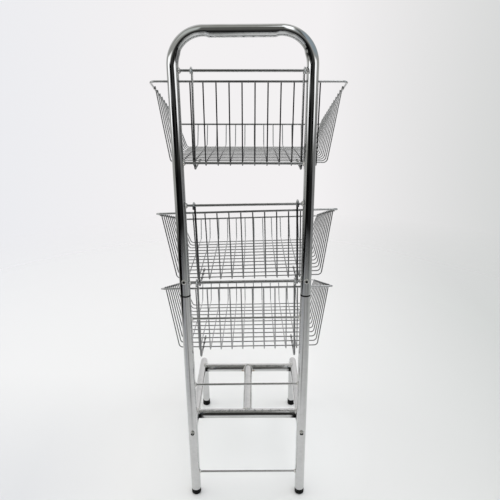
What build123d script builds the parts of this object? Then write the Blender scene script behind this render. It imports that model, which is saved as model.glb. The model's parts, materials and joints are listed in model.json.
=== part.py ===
from build123d import *
import math
import os

os.makedirs("parts", exist_ok=True)

# A stand of bent tube that carries three wire baskets on its front side.
# All sizes are in millimetres. X runs across the stand, Y from its back to its front, Z up.
# Everything is modelled from the floor below the middle of the uprights, and placed at the end.
# Tubes, rods and wires are many-sided bars, their sizes across the flats, with stepped bends.

# Sides of the sections and steps of the bends
tube_sides = 24
rod_sides = 12
wire_sides = 6
tube_bend_steps = 6
wire_bend_steps = 2
hook_bend_steps = 4

# Frame tubes
tube_od = 26.9
tube_wall = 1.2
side_tube_od = 24.0
side_tube_wall = 1.2
upright_spacing = 304.0
handle_top = 1270.0
handle_bend = 69.0
seam_height = 644.5
spigot_length = 74.0
spigot_shoulder = 4.0
joint_bolt_rise = 39.5

# Rods across the uprights, on the rows of an even grid from the top rod down to the foot rod
rod_diameter = 6.0
top_rod_drop = 93.0
foot_rod_height = 75.5
rod_rows = [
    "top_hang_rod",
    None,
    "top_rest_rod",
    "middle_hang_rod",
    None,
    "lower_hang_rod",
    "lower_rest_rod",
    None,
    "brace_rod",
    None,
    None,
    "foot_rod",
]

# How far the left and right end of each rod is welded above its row or, below nought, under it
rod_rise = {
    "top_hang_rod": (1.3, -1.1),
    "top_rest_rod": (0.7, -2.6),
    "middle_hang_rod": (-0.9, 2.1),
    "lower_hang_rod": (-0.9, 3.1),
    "lower_rest_rod": (-1.4, 2.1),
    "brace_rod": (-1.5, 0.6),
    "foot_rod": (-0.1, 1.1),
}

# Base
base_depth = 416.0
base_rear_height = 224.5
base_front_height = 200.5
base_splay = 6.0
base_bend = 40.0
rear_cross_depth = 79.0
front_cross_depth = 345.0
cross_drop = 2.0
cope_overlap = 5.0
plug_length = 26.0
plug_inset = 4.0

# Rubber feet
foot_head_height = 17.5
foot_edge = 4.0
foot_stem_length = 22.0
cap_wall = 1.0
cap_floor = 6.0
cap_height = 20.0
cap_edge = 2.5

# Bolts, nuts and washers
bolt_diameter = 6.0
bolt_hole = 6.6
bolt_head_width = 10.0
bolt_head_height = 4.0
nut_height = 5.0
bolt_tip = 1.0
washer_diameter = 12.0
washer_thickness = 1.2

# Basket wires
mesh_wire = 3.0
rim_wire = 5.0
hook_wire = 5.0
mesh_pitch = 29.0
mesh_count = 12
mesh_bend = 10.0
rim_corner = 22.0
rim_flare = 31.0
front_flare = 29.3
back_lean = 17.4
front_wall_height = 63.0
hook_bend = 8.0
hook_tail = 11.3
runner_wires = 3
runner_overhang = 20.0

# Each basket: the rods that it hangs on and leans on
basket_rods = {
    "top": ("top_hang_rod", "top_rest_rod"),
    "middle": ("middle_hang_rod", "lower_hang_rod"),
    "lower": ("lower_hang_rod", "lower_rest_rod"),
}

# How far each basket is pushed to the right on its rod, and pulled to the front over it or, below nought, back
side_shift = {"top": 12.5, "middle": 4.6, "lower": 2.6}
front_pull = {"top": -0.5, "middle": 0.5, "lower": 2.2}

# The angle by which each basket hangs higher on the right than its rod, its right hook off the rod
basket_cant = {"top": 0.0, "middle": 0.65, "lower": 0.0}

# Clearances
weld_gap = 0.05
seat_gap = 0.1
thread_gap = 0.1
fit_gap = 0.2
rest_gap = 0.3
rim_gap = 1.85
nest_gap = 5.6
hook_side_gap = 1.15


def corner_reach(size, sides):
    """The distance from a bar's axis to the corners of its section."""
    return size / 2 / math.cos(math.pi / sides)


# Worked out from the sizes above
tube_radius = tube_od / 2
upright_x = upright_spacing / 2
handle_axis_height = handle_top - tube_radius
top_rod_height = handle_top - top_rod_drop
rod_grid = (top_rod_height - foot_rod_height) / (len(rod_rows) - 1)
rod_heights = {name: top_rod_height - row * rod_grid for row, name in enumerate(rod_rows) if name}
joint_bolt_height = seam_height + joint_bolt_rise
upright_bottom = foot_head_height + seat_gap
mesh_reach = corner_reach(mesh_wire, wire_sides)
rim_reach = corner_reach(rim_wire, wire_sides)
hook_reach = corner_reach(hook_wire, wire_sides)

# Basket sizes, measured from the axis of the rod that the basket hangs on
hook_radius = tube_radius + rim_gap - hook_wire / 2 - weld_gap
hook_crown = corner_reach(rod_diameter, rod_sides) + rest_gap + hook_wire / 2
hook_spring = hook_crown - hook_radius
largest_shift = max(abs(shift) for shift in side_shift.values())
hook_x = upright_x - tube_radius - hook_side_gap - hook_reach - largest_shift
leg_drop = rod_heights["middle_hang_rod"] - rod_heights["lower_hang_rod"]
runner_height = -leg_drop - hook_tail
cross_height = runner_height + hook_wire / 2 + weld_gap + mesh_wire / 2
long_height = cross_height + mesh_wire + weld_gap
rim_back_y = hook_radius + hook_wire / 2 + weld_gap + rim_reach
rim_back_height = -(hook_tail + hook_wire / 2 + nest_gap + rim_reach)
floor_size = (mesh_count + 1) * mesh_pitch
floor_back_y = rim_back_y + back_lean
floor_front_y = floor_back_y + floor_size
rim_front_y = floor_front_y + front_flare
rim_front_height = cross_height + front_wall_height
rim_half_width = floor_size / 2 + rim_flare
rim_slope = math.atan2(rim_back_height - rim_front_height, rim_front_y - rim_back_y)
runner_end_y = floor_back_y + runner_wires * mesh_pitch + runner_overhang
mesh_steps = [(index + 1) * mesh_pitch for index in range(mesh_count)]


def round_section(size, sides):
    """A many-sided section, measured across its flats, with a flat along each side of Y."""
    return RegularPolygon(size / 2, sides, major_radius=False, rotation=90 - 180 / sides)


def bend(before, corner, after, radius, steps):
    """The points of a stepped bend around a corner, each run touching the bend's arc."""
    before, corner, after = Vector(before), Vector(corner), Vector(after)
    ahead = (corner - before).normalized()
    away = (after - corner).normalized()
    turn = math.radians(ahead.get_angle(away))
    inward = (away - ahead * math.cos(turn)).normalized()
    centre = corner - ahead * radius * math.tan(turn / 2) + inward * radius
    reach = radius / math.cos(turn / steps / 2)
    angles = [(step + 0.5) * turn / steps for step in range(steps)]
    return [centre + (ahead * math.sin(angle) - inward * math.cos(angle)) * reach for angle in angles]


def bent(corners, radii, steps):
    """The points of a path with a bend of its own radius at each inner corner."""
    points = [Vector(corners[0])]
    for before, corner, after, radius in zip(corners, corners[1:], corners[2:], radii):
        points += bend(before, corner, after, radius, steps)
    return points + [Vector(corners[-1])]


def bar_along(points, size, sides, side_direction=(1, 0, 0)):
    """A bar of even section along straight runs with mitred corners."""
    path = Polyline(*points)
    start = Plane(origin=path @ 0, x_dir=side_direction, z_dir=path % 0)
    return sweep(start * round_section(size, sides), path=path, transition=Transition.RIGHT)


def tube_along(points, size, wall, side_direction=(1, 0, 0)):
    """A tube of even wall along straight runs with mitred corners."""
    bar = bar_along(points, size, tube_sides, side_direction)
    return bar - bar_along(points, size - 2 * wall, tube_sides, side_direction)


def upright_bar(x, low, high, size):
    """A bar in the place of an upright, between two heights."""
    return bar_along([(x, 0, low), (x, 0, high)], size, tube_sides)


def depth_bar(x, back, front, height, size, sides=rod_sides):
    """A bar that points to the front, for bolts and what fits them."""
    return bar_along([(x, back, height), (x, front, height)], size, sides)


def bolt_passage(x, height):
    """The bar that a bolt's hole takes out of an upright."""
    return depth_bar(x, -tube_od, tube_od, height, bolt_hole)


# Frame

def handle_frame():
    """The handle and both upper uprights, one tube bent to an upside-down U."""
    corners = [
        (-upright_x, 0, seam_height),
        (-upright_x, 0, handle_axis_height),
        (upright_x, 0, handle_axis_height),
        (upright_x, 0, seam_height),
    ]
    path = bent(corners, [handle_bend] * 2, tube_bend_steps)
    tube = tube_along(path, tube_od, tube_wall)
    for x in (-upright_x, upright_x):
        tube -= bolt_passage(x, joint_bolt_height)
    return tube


def lower_upright(x):
    """A lower upright, its top end swaged down to fit inside the tube above it."""
    bore = tube_od - 2 * tube_wall
    spigot = bore - 2 * fit_gap
    seam = seam_height - seat_gap
    top = seam_height + spigot_length
    tube = upright_bar(x, upright_bottom, seam, tube_od) + upright_bar(x, seam, top, spigot)
    tube -= upright_bar(x, upright_bottom, seam - spigot_shoulder, bore)
    tube -= upright_bar(x, seam - spigot_shoulder, top, spigot - 2 * tube_wall)
    for height in (joint_bolt_height, base_rear_height):
        tube -= bolt_passage(x, height)
    return tube


def rod_height(name, x):
    """The height of a rod's axis at a place across the stand."""
    left, right = rod_rise[name]
    share = (x + upright_x) / upright_spacing
    return rod_heights[name] + left + (right - left) * share


def rod_lean(name):
    """The angle by which a rod climbs to the right."""
    left, right = rod_rise[name]
    return math.degrees(math.atan2(right - left, upright_spacing))


def cross_rod(name):
    """A rod between the uprights, its ends shaped to their round sides."""
    ends = [(x, 0, rod_height(name, x)) for x in (-upright_x, upright_x)]
    rod = bar_along(ends, rod_diameter, rod_sides, (0, 1, 0))
    for x, y, height in ends:
        rod -= upright_bar(x, height - rod_diameter, height + rod_diameter, tube_od + 2 * weld_gap)
    return rod


# Base

def side_point(side, depth):
    """The point on the axis of a base tube's run at a depth from the upright."""
    share = depth / base_depth
    x = upright_x + base_splay * share
    z = base_rear_height + (base_front_height - base_rear_height) * share
    return (side * x, depth, z)


def base_tube(side):
    """A base tube: a run out of the upright, then a bend down into a front leg."""
    corner = side_point(side, base_depth)
    foot = (corner[0], corner[1], cap_floor + seat_gap)
    path = bent([side_point(side, 0), corner, foot], [base_bend], tube_bend_steps)
    tube = tube_along(path, side_tube_od, side_tube_wall)
    low = base_rear_height - tube_od
    high = base_rear_height + tube_od
    return tube - upright_bar(side * upright_x, low, high, tube_od + 2 * weld_gap)


def cross_point(depth):
    """The point where the axis of a cross tube passes below the right base tube's axis."""
    x, y, z = side_point(1, depth)
    return (x, y, z - cross_drop)


def cross_tube(depth):
    """A tube across the base, its ends notched around the base tubes."""
    x, y, height = cross_point(depth)
    reach = x - side_tube_od / 2 + cope_overlap
    tube = tube_along([(-reach, y, height), (reach, y, height)], tube_od, tube_wall, (0, 1, 0))
    for side in (-1, 1):
        run = [side_point(side, depth - tube_od), side_point(side, depth + tube_od)]
        tube -= bar_along(run, side_tube_od + 2 * weld_gap, tube_sides)
    return tube


def centre_tube():
    """The tube along the middle of the base, its ends shaped to the cross tubes."""
    ends = [(0, *cross_point(depth)[1:]) for depth in (rear_cross_depth, front_cross_depth)]
    tube = tube_along(ends, tube_od, tube_wall)
    for x, y, height in ends:
        across = [(-tube_od, y, height), (tube_od, y, height)]
        tube -= bar_along(across, tube_od + 2 * weld_gap, tube_sides, (0, 1, 0))
    return tube


def upright_foot(x):
    """A rubber plug with a rounded head, pushed into the bottom of an upright."""
    head = upright_bar(x, 0, foot_head_height, tube_od)
    head = chamfer(head.edges().group_by(Axis.Z)[0], foot_edge)
    stem_top = foot_head_height + foot_stem_length
    return head + upright_bar(x, foot_head_height, stem_top, tube_od - 2 * (tube_wall + fit_gap))


def front_cap(side):
    """A rubber cap over the bottom of a front leg."""
    x, y, z = side_point(side, base_depth)
    bore = side_tube_od + 2 * fit_gap
    cap = bar_along([(x, y, 0), (x, y, cap_height)], bore + 2 * cap_wall, tube_sides)
    cap = chamfer(cap.edges().group_by(Axis.Z)[0], cap_edge)
    return cap - bar_along([(x, y, cap_floor), (x, y, cap_height)], bore, tube_sides)


# Bolts

washer_seat = tube_radius + seat_gap
head_seat = washer_seat + washer_thickness + seat_gap


def bolt(x, height, tip):
    """A hexagon bolt from behind an upright to a tip in front."""
    head = depth_bar(x, -head_seat - bolt_head_height, -head_seat, height, bolt_head_width, sides=6)
    return head + depth_bar(x, -head_seat, tip, height, bolt_diameter)


def washer(x, height, back):
    """A washer on a bolt, from a depth to the front."""
    front = back + washer_thickness
    ring = depth_bar(x, back, front, height, washer_diameter)
    return ring - depth_bar(x, back, front, height, bolt_hole)


def joint_nut(x, height):
    """A hexagon nut in front of an upright, on a joint bolt."""
    nut = depth_bar(x, head_seat, head_seat + nut_height, height, bolt_head_width, sides=6)
    return nut - depth_bar(x, head_seat, head_seat + nut_height, height, bolt_diameter + 2 * thread_gap)


def base_plug(side):
    """The threaded plug inside the rear end of a base tube, which takes the base bolt."""
    back = tube_radius + plug_inset
    run = [side_point(side, back), side_point(side, back + plug_length)]
    plug = bar_along(run, side_tube_od - 2 * (side_tube_wall + fit_gap), tube_sides)
    far = back + 2 * plug_length
    return plug - depth_bar(side * upright_x, 0, far, base_rear_height, bolt_diameter + 2 * thread_gap)


# Baskets, each in its own frame with the hang rod as the X axis and the floor level

def short_of(end, inner, distance):
    """The point on a straight stretch that stops a distance short of its end."""
    end = Vector(end)
    return end + (Vector(inner) - end).normalized() * distance


def basket_rim():
    """The rim, a closed loop that slopes down to the front."""
    back = (rim_back_y, rim_back_height)
    front = (rim_front_y, rim_front_height)
    corners = [
        (0, *back),
        (rim_half_width, *back),
        (rim_half_width, *front),
        (-rim_half_width, *front),
        (-rim_half_width, *back),
        (0, *back),
    ]
    path = bent(corners, [rim_corner] * 4, hook_bend_steps)
    return bar_along(path, rim_wire, wire_sides, (0, math.sin(rim_slope), math.cos(rim_slope)))


def long_wire(x):
    """A wire down the back wall, along the floor and up the front wall."""
    back = (x, floor_back_y, long_height)
    front = (x, floor_front_y, long_height)
    stop = rim_reach + weld_gap
    start = short_of((x, rim_back_y, rim_back_height), back, stop)
    end = short_of((x, rim_front_y, rim_front_height), front, stop)
    path = bent([start, back, front, end], [mesh_bend] * 2, wire_bend_steps)
    return bar_along(path, mesh_wire, wire_sides)


def cross_wire(y):
    """A wire down one side wall, across the floor and up the other side wall."""
    rim_height = rim_back_height - (y - rim_back_y) * math.tan(rim_slope)
    left = (-floor_size / 2, y, cross_height)
    right = (floor_size / 2, y, cross_height)
    stop = rim_reach / math.cos(rim_slope) + mesh_reach * math.tan(rim_slope) + weld_gap
    start = short_of((-rim_half_width, y, rim_height), left, stop)
    end = short_of((rim_half_width, y, rim_height), right, stop)
    path = bent([start, left, right, end], [mesh_bend] * 2, wire_bend_steps)
    return bar_along(path, mesh_wire, wire_sides, (0, 1, 0))


def hook(x):
    """A hook over the hang rod, down behind the back wall and forward under the floor."""
    corners = [
        (x, -hook_radius, hook_spring),
        (x, -hook_radius, hook_crown),
        (x, hook_radius, hook_crown),
        (x, hook_radius, runner_height),
        (x, runner_end_y, runner_height),
    ]
    path = bent(corners, [hook_radius, hook_radius, hook_bend], hook_bend_steps)
    return bar_along(path, hook_wire, wire_sides)


def basket_pieces():
    """All pieces of one basket, in the basket's own frame."""
    return {
        "rim": [basket_rim()],
        "long_wires": [long_wire(step - floor_size / 2) for step in mesh_steps],
        "cross_wires": [cross_wire(floor_back_y + step) for step in mesh_steps],
        "left_hook": [hook(-hook_x)],
        "right_hook": [hook(hook_x)],
    }


def basket_place(tier):
    """Where a basket hangs: its hooks on one rod, tilted until they lean on the rod below."""
    hang, rest = basket_rods[tier]
    x = side_shift[tier]
    pull = front_pull[tier]
    cant = basket_cant[tier]
    rise = -hook_spring - math.sqrt(hook_spring**2 - pull**2)
    rise += (hook_x + hook_reach) * math.sin(math.radians(cant))
    tilt = math.asin((pull - hook_spring) / (rod_height(hang, x) - rod_height(rest, x)))
    on_rod = Pos(x, 0, rod_height(hang, x)) * Rot(0, -rod_lean(hang), 0)
    return on_rod * Rot(-math.degrees(tilt), 0, 0) * Pos(0, pull, rise) * Rot(0, -cant, 0)


# Assembly

def stand_pieces():
    """All pieces of the stand without its baskets."""
    washer_back = -washer_seat - washer_thickness
    joint_tip = head_seat + nut_height + bolt_tip
    base_tip = tube_radius + plug_inset + plug_length
    sides = {"left": -1, "right": 1}
    ends = [-upright_x, upright_x]
    pieces = {"handle_frame": [handle_frame()]}
    for name in rod_heights:
        pieces[name] = [cross_rod(name)]
    for name, side in sides.items():
        pieces[name + "_lower_upright"] = [lower_upright(side * upright_x)]
        pieces[name + "_base_tube"] = [base_tube(side)]
        pieces[name + "_rear_foot"] = [upright_foot(side * upright_x)]
        pieces[name + "_front_foot"] = [front_cap(side)]
    pieces["rear_cross_tube"] = [cross_tube(rear_cross_depth)]
    pieces["front_cross_tube"] = [cross_tube(front_cross_depth)]
    pieces["centre_tube"] = [centre_tube()]
    pieces["joint_bolts"] = [bolt(x, joint_bolt_height, joint_tip) for x in ends]
    pieces["joint_rear_washers"] = [washer(x, joint_bolt_height, washer_back) for x in ends]
    pieces["joint_front_washers"] = [washer(x, joint_bolt_height, washer_seat) for x in ends]
    pieces["joint_nuts"] = [joint_nut(x, joint_bolt_height) for x in ends]
    pieces["base_bolts"] = [bolt(x, base_rear_height, base_tip) for x in ends]
    pieces["base_washers"] = [washer(x, base_rear_height, washer_back) for x in ends]
    pieces["base_plugs"] = [base_plug(side) for side in sides.values()]
    return pieces


def all_pieces():
    """Every piece of the object, the baskets hung on their rods."""
    pieces = stand_pieces()
    basket = basket_pieces()
    for tier in basket_rods:
        place = basket_place(tier)
        for name, solids in basket.items():
            pieces[tier + "_" + name] = [place * solid for solid in solids]
    return pieces


pieces = all_pieces()

# The origin is on the floor, in the middle of the space that the object takes up
whole = Compound([solid for solids in pieces.values() for solid in solids]).bounding_box()
to_origin = Pos(-whole.center().X, -whole.center().Y, -whole.min.Z)

for name, solids in pieces.items():
    placed = [to_origin * solid for solid in solids]
    export_step(Compound(placed), "parts/" + name + ".step")
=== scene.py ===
"""A stand of bent tube that carries three wire baskets: its finished surfaces, finishes, studio and camera."""

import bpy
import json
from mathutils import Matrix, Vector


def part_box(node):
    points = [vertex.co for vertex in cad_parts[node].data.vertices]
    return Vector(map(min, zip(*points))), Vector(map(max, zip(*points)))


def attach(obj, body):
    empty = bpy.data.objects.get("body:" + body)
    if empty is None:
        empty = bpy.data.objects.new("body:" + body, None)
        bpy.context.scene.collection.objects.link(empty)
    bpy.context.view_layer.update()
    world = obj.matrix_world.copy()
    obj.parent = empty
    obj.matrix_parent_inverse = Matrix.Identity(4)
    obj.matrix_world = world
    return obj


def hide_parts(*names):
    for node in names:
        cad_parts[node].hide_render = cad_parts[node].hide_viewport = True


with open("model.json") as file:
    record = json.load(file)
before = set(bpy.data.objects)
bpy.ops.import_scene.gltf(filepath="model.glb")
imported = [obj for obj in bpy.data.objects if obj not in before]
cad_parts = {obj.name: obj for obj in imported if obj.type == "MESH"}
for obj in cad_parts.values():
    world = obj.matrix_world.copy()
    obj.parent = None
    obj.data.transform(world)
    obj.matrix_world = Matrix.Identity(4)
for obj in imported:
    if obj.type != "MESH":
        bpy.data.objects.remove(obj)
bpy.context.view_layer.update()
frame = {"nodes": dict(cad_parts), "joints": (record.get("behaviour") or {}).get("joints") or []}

import json
import logging
import math
from dataclasses import dataclass, field, replace
from enum import Enum
from functools import cache
from typing import Any, Sequence

import bpy
import numpy as np
from mathutils import Matrix, Vector

Array = np.ndarray
Point = tuple[float, float, float] | Array
Ends = tuple[float, float]
Material = bpy.types.Material
Socket = bpy.types.NodeSocket
Tree = bpy.types.NodeTree

METRES = 0.001
SHARP_ANGLE = math.radians(38.0)
SAME_PLACE = 1e-6
WHITE = "#ffffff"

# Points round a tube, a rod, a rim or hook, a wire, a weld bead and a spot weld, and steps of a quarter round
TUBE_SIDES = 48
ROD_SIDES = 24
RIM_SIDES = 16
WIRE_SIDES = 12
BEAD_SIDES = 10
SPOT_SIDES = 8
QUARTER_STEPS = 7

# A weld bead: its steps along the seam, the length of a puddle in widths, and how far puddles and drift swell it
BEAD_STEP = 0.8
BEAD_STEPS = 40
PUDDLE = 1.5
PUDDLE_SWELL = 0.13
DRIFT_SWELL = 0.22
DRIFT_WAVES = 3
# A spot weld: the angles of its rings from its pole, as shares of half a turn
SPOT_RINGS = (0.84, 0.5, 0.16)

X_AXIS = (1.0, 0.0, 0.0)
Y_AXIS = (0.0, 1.0, 0.0)
Z_AXIS = (0.0, 0.0, 1.0)
UPWARD = np.eye(3)
BACKWARD = np.array([X_AXIS, Z_AXIS, (0.0, -1.0, 0.0)])
FORWARD = np.array([X_AXIS, (0.0, 0.0, -1.0), Y_AXIS])

log = logging.getLogger("wire_basket_stand")


class Side(Enum):
    """The two sides of the stand seen from behind, with the sign of X on each."""

    LEFT = -1
    RIGHT = 1


class Tier(Enum):
    """The three baskets from the top down."""

    TOP = "top"
    MIDDLE = "middle"
    LOWER = "lower"


# Surfaces as arrays

@dataclass
class Surface:
    """A surface in millimetres."""

    points: Array  # the corners, one row each
    straight: Array  # each corner's place on the bar before it was bent: two coordinates across it and one along it
    faces: list[list[int]]  # lists of corner numbers, in turn around each face


def unit(vectors: Any) -> Array:
    """Vectors divided by their lengths."""
    vectors = np.asarray(vectors, float)
    return vectors / np.linalg.norm(vectors, axis=-1, keepdims=True)


def around(count: int) -> Array:
    """The angles of points evenly round a circle."""
    return np.arange(count) * 2.0 * math.pi / count


def fade(values: Any, start: float, stop: float) -> Array:
    """A smooth change from nought at the start to one at the stop: three squares less two cubes of the share."""
    share = np.clip((np.asarray(values, float) - start) / (stop - start), 0.0, 1.0)
    return share * share * (3.0 - 2.0 * share)


def between(first: float, last: float, share: Array) -> Array:
    """The first value, changing to the last one as the share grows from nought to one."""
    return first + (last - first) * share


def bell(values: Array, middle: float, width: float) -> Array:
    """A soft peak: the exponential of less the square of the distance from the middle in widths."""
    return np.exp(-(((values - middle) / width) ** 2))


def lengths(path: Array) -> Array:
    """The length of a path up to each of its points."""
    return np.concatenate([[0.0], np.cumsum(np.linalg.norm(np.diff(path, axis=0), axis=1))])


def turned_about(axis: Point, angle: float) -> Array:
    """The matrix of a turn about an axis by an angle, right-handed."""
    return np.array(Matrix.Rotation(angle, 3, axis))


def sight(turn: float, lift: float, roll: float) -> tuple[Array, Array, Array]:
    """The directions of a view, its angles in degrees.

    Ahead is the sine and cosine of the turn times the cosine of the lift, and the sine of the lift. Up is the level
    direction to the right crossed with it, and the roll turns these two about it.

    Args:
        turn: The angle to the right of +Y.
        lift: The angle above the level.
        roll: The turn about the direction ahead.

    Returns:
        The directions right, up and ahead.
    """
    turn, lift, roll = (math.radians(angle) for angle in (turn, lift, roll))
    ahead = np.array([math.sin(turn) * math.cos(lift), math.cos(turn) * math.cos(lift), math.sin(lift)])
    level = np.array([math.cos(turn), -math.sin(turn), 0.0])
    upward = np.cross(level, ahead)
    right = math.cos(roll) * level + math.sin(roll) * upward
    return right, math.cos(roll) * upward - math.sin(roll) * level, ahead


def joined(surfaces: Sequence[Surface]) -> Surface:
    """One surface of several, their face numbers moved up by the corners before them.

    Args:
        surfaces: The surfaces to join.

    Returns:
        The joined surface.
    """
    counts = np.cumsum([0] + [len(surface.points) for surface in surfaces]).tolist()
    faces = [[index + start for index in face] for surface, start in zip(surfaces, counts) for face in surface.faces]
    return Surface(np.concatenate([s.points for s in surfaces]), np.concatenate([s.straight for s in surfaces]), faces)


def moved(surface: Surface, shift: Point) -> Surface:
    """A copy of a surface, moved."""
    return Surface(surface.points + shift, surface.straight, surface.faces)


def ring_surface(rings: Array, straight: Array, rows_close: bool = False) -> Surface:
    """A surface of four-cornered faces over rings of points, its two ends flat where the rows don't close.

    Args:
        rings: Points by ring and place in the ring.
        straight: The same points on the straight bar.
        rows_close: Whether the last ring joins the first one.

    Returns:
        The surface.
    """
    index = np.arange(rings.shape[0] * rings.shape[1]).reshape(rings.shape[:2])
    ahead = np.roll(index, -1, 0)
    quads = np.stack([index, np.roll(index, -1, 1), np.roll(ahead, -1, 1), ahead], -1)
    faces = (quads if rows_close else quads[:-1]).reshape(-1, 4).tolist()
    if not rows_close:
        faces += [index[0, ::-1].tolist(), index[-1].tolist()]
    return Surface(rings.reshape(-1, 3), straight.reshape(-1, 3), faces)


def rounded_path(corners: Sequence[Point], radii: Sequence[float], steps: int, closed: bool = False) -> Array:
    """A path of straight runs with an arc at each inner corner.

    An arc starts at the corner less the radius times the tangent of half the turn along the first run, and each of
    its points adds the radius times the sine of the angle ahead and one less its cosine inward.

    Args:
        corners: The corners of the path.
        radii: The arc's radius at each rounded corner.
        steps: Steps of each arc.
        closed: Whether the path returns to its start, with an arc at every corner.

    Returns:
        The points of the path.
    """
    corners = np.asarray(corners, float)
    if closed:
        corners = np.concatenate([corners[-1:], corners, corners[:1]])
    stretches = [] if closed else [corners[:1]]
    for before, corner, after, radius in zip(corners, corners[1:], corners[2:], radii):
        ahead, away = unit(corner - before), unit(after - corner)
        turn = math.acos(float(np.clip(ahead @ away, -1.0, 1.0)))
        inward = unit(away - ahead * math.cos(turn))
        angle = np.linspace(0.0, turn, steps + 1)[:, None]
        start = corner - ahead * radius * math.tan(turn / 2)
        stretches.append(start + radius * (np.sin(angle) * ahead + (1.0 - np.cos(angle)) * inward))
    path = np.concatenate(stretches if closed else [*stretches, corners[-1:]])
    return path[np.concatenate([[True], np.diff(lengths(path)) > SAME_PLACE])]


def rings_along(path: Array, radii: Any, sides: int, across: Point, closed: bool = False) -> tuple[Array, Array]:
    """Round rings carried along a flat path.

    The path's direction at a point is the sum of the directions of the runs before and after it. A ring's point is
    the path's point plus the radius times the cosine of its angle along the normal and the sine along the direction
    across the path's plane.

    Args:
        path: The points of the path.
        radii: The radius, or one at each point, or one at each point and place in the ring.
        sides: Points of each ring.
        across: The direction across the path's plane.
        closed: Whether the path returns to its start.

    Returns:
        The ring points, and the same points on the straight bar.
    """
    runs = unit(np.diff(path, axis=0, append=path[:1]))
    runs = runs if closed else runs[:-1]
    both = runs + np.roll(runs, 1, 0) if closed else np.concatenate([runs[:1], runs[1:] + runs[:-1], runs[-1:]])
    across = unit(across)
    normal, angle = np.cross(across, unit(both)), around(sides)
    circle = np.cos(angle)[:, None] * normal[:, None, :] + np.sin(angle)[:, None] * across
    radii = radii if np.ndim(radii) == 2 else (radii + np.zeros(len(path)))[:, None]
    radii = np.broadcast_to(radii, (len(path), sides))
    flat = [radii * np.cos(angle), radii * np.sin(angle), lengths(path)[:, None] + 0.0 * angle]
    return path[:, None, :] + radii[:, :, None] * circle, np.stack(flat, -1)


@dataclass(frozen=True)
class Cope:
    """A bar that the end of another bar is cut to fit."""

    axis: Point  # the direction of the bar, whose axis runs through the end of the other bar's path, or above it
    radius: float  # the bar's radius
    least: float = 0.0  # how near to this bar's axis a wider bar comes above and below it
    rise: float = 0.0  # how far this bar's axis passes above that end

    def slide(self, offsets: Array, away: Array) -> Array:
        """How far the points of an end ring move along their bar to reach this one.

        This is the root of the radius squared less the offset across both bars squared, and never less than the least
        distance.

        Args:
            offsets: The ring's points from its centre.
            away: The direction along the other bar, away from this one.

        Returns:
            A distance for each point.
        """
        beside = unit(np.cross(away, self.axis))
        across = offsets @ beside - self.rise * beside[2]
        return np.sqrt(np.maximum(self.radius**2 - across**2, self.least**2))


Copes = tuple[Cope | None, Cope | None]


def cut_ends(rings: Array, path: Array, copes: Copes) -> None:
    """Moves the end rings of a bar along it until they fit other bars.

    Args:
        rings: The bar's rings, changed in place.
        path: The bar's path.
        copes: What the first and the last end are cut to fit.
    """
    for cope, end, inner in zip(copes, (0, -1), (1, -2)):
        if cope:
            away = unit(path[inner] - path[end])
            rings[end] += cope.slide(rings[end] - path[end], away)[:, None] * away


def solid_bar(path: Array, radius: float, sides: int, across: Point, edge: float = 0.0,
              copes: Copes = (None, None)) -> Surface:
    """A round bar along a path, its ends cut square with a small bevel or cut to fit other bars.

    Args:
        path: The points of the path.
        radius: The bar's radius.
        sides: Points of each ring.
        across: The direction across the path's plane.
        edge: The bevel at square ends.
        copes: What the first and the last end are cut to fit.

    Returns:
        The bar's surface.
    """
    radii = np.full(len(path), radius)
    if edge:
        ends = unit([path[1] - path[0], path[-2] - path[-1]]) * edge
        path = np.concatenate([path[:1], path[:1] + ends[:1], path[1:-1], path[-1:] + ends[1:], path[-1:]])
        radii = np.pad(radii, 1, constant_values=radius)
        radii[[0, -1]] -= edge
    rings, straight = rings_along(path, radii, sides, across)
    cut_ends(rings, path, copes)
    return ring_surface(rings, straight)


def hollow_tube(path: Array, outer: Any, inner: Any, across: Point, copes: Copes = (None, None)) -> Surface:
    """A tube with a wall: rings out along its outside and back along its bore, closed to one skin.

    Args:
        path: The points of the path.
        outer: The outer radius, or one for each point, or one for each point and place around it.
        inner: The bore's radius, likewise.
        across: The direction across the path's plane.
        copes: What the first and the last end are cut to fit.

    Returns:
        The tube's surface.
    """
    skins = [rings_along(path, radii, TUBE_SIDES, across) for radii in (outer, inner)]
    for rings, _ in skins:
        cut_ends(rings, path, copes)
    rings, straight = (np.concatenate([out, back[::-1]]) for out, back in zip(*skins))
    return ring_surface(rings, straight, True)


def turned(radius: Any, height: Any, sides: int, centre: Point = (0.0, 0.0, 0.0), turn: Array = UPWARD,
           rows_close: bool = False) -> Surface:
    """A turned or pressed shape: at each row and angle, a radius from the axis and a height along it.

    Args:
        radius: Radii by row, or by row and angle.
        height: Heights by row, or by row and angle.
        sides: Points around the axis.
        centre: Where the axis starts.
        turn: The three directions of the shape's own axes, as rows.
        rows_close: Whether the last row joins the first one.

    Returns:
        The surface.
    """
    radius, height = (np.asarray(value, float).reshape(len(value), -1) for value in (radius, height))
    angle = around(sides)
    own = np.stack([radius * np.cos(angle), radius * np.sin(angle), height + 0.0 * angle], -1)
    return ring_surface(own @ turn + centre, own, rows_close)


def quarter_round(radius: float, edge: float) -> tuple[Array, Array]:
    """A quarter round at the foot of a turned shape, by the sine and the cosine of the angle along it.

    Args:
        radius: The shape's radius above it.
        edge: The radius of the round.

    Returns:
        The radii and the heights from the bottom up.
    """
    angle = np.linspace(0.0, math.pi / 2.0, QUARTER_STEPS)
    return radius - edge * (1.0 - np.sin(angle)), edge * (1.0 - np.cos(angle))


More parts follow.
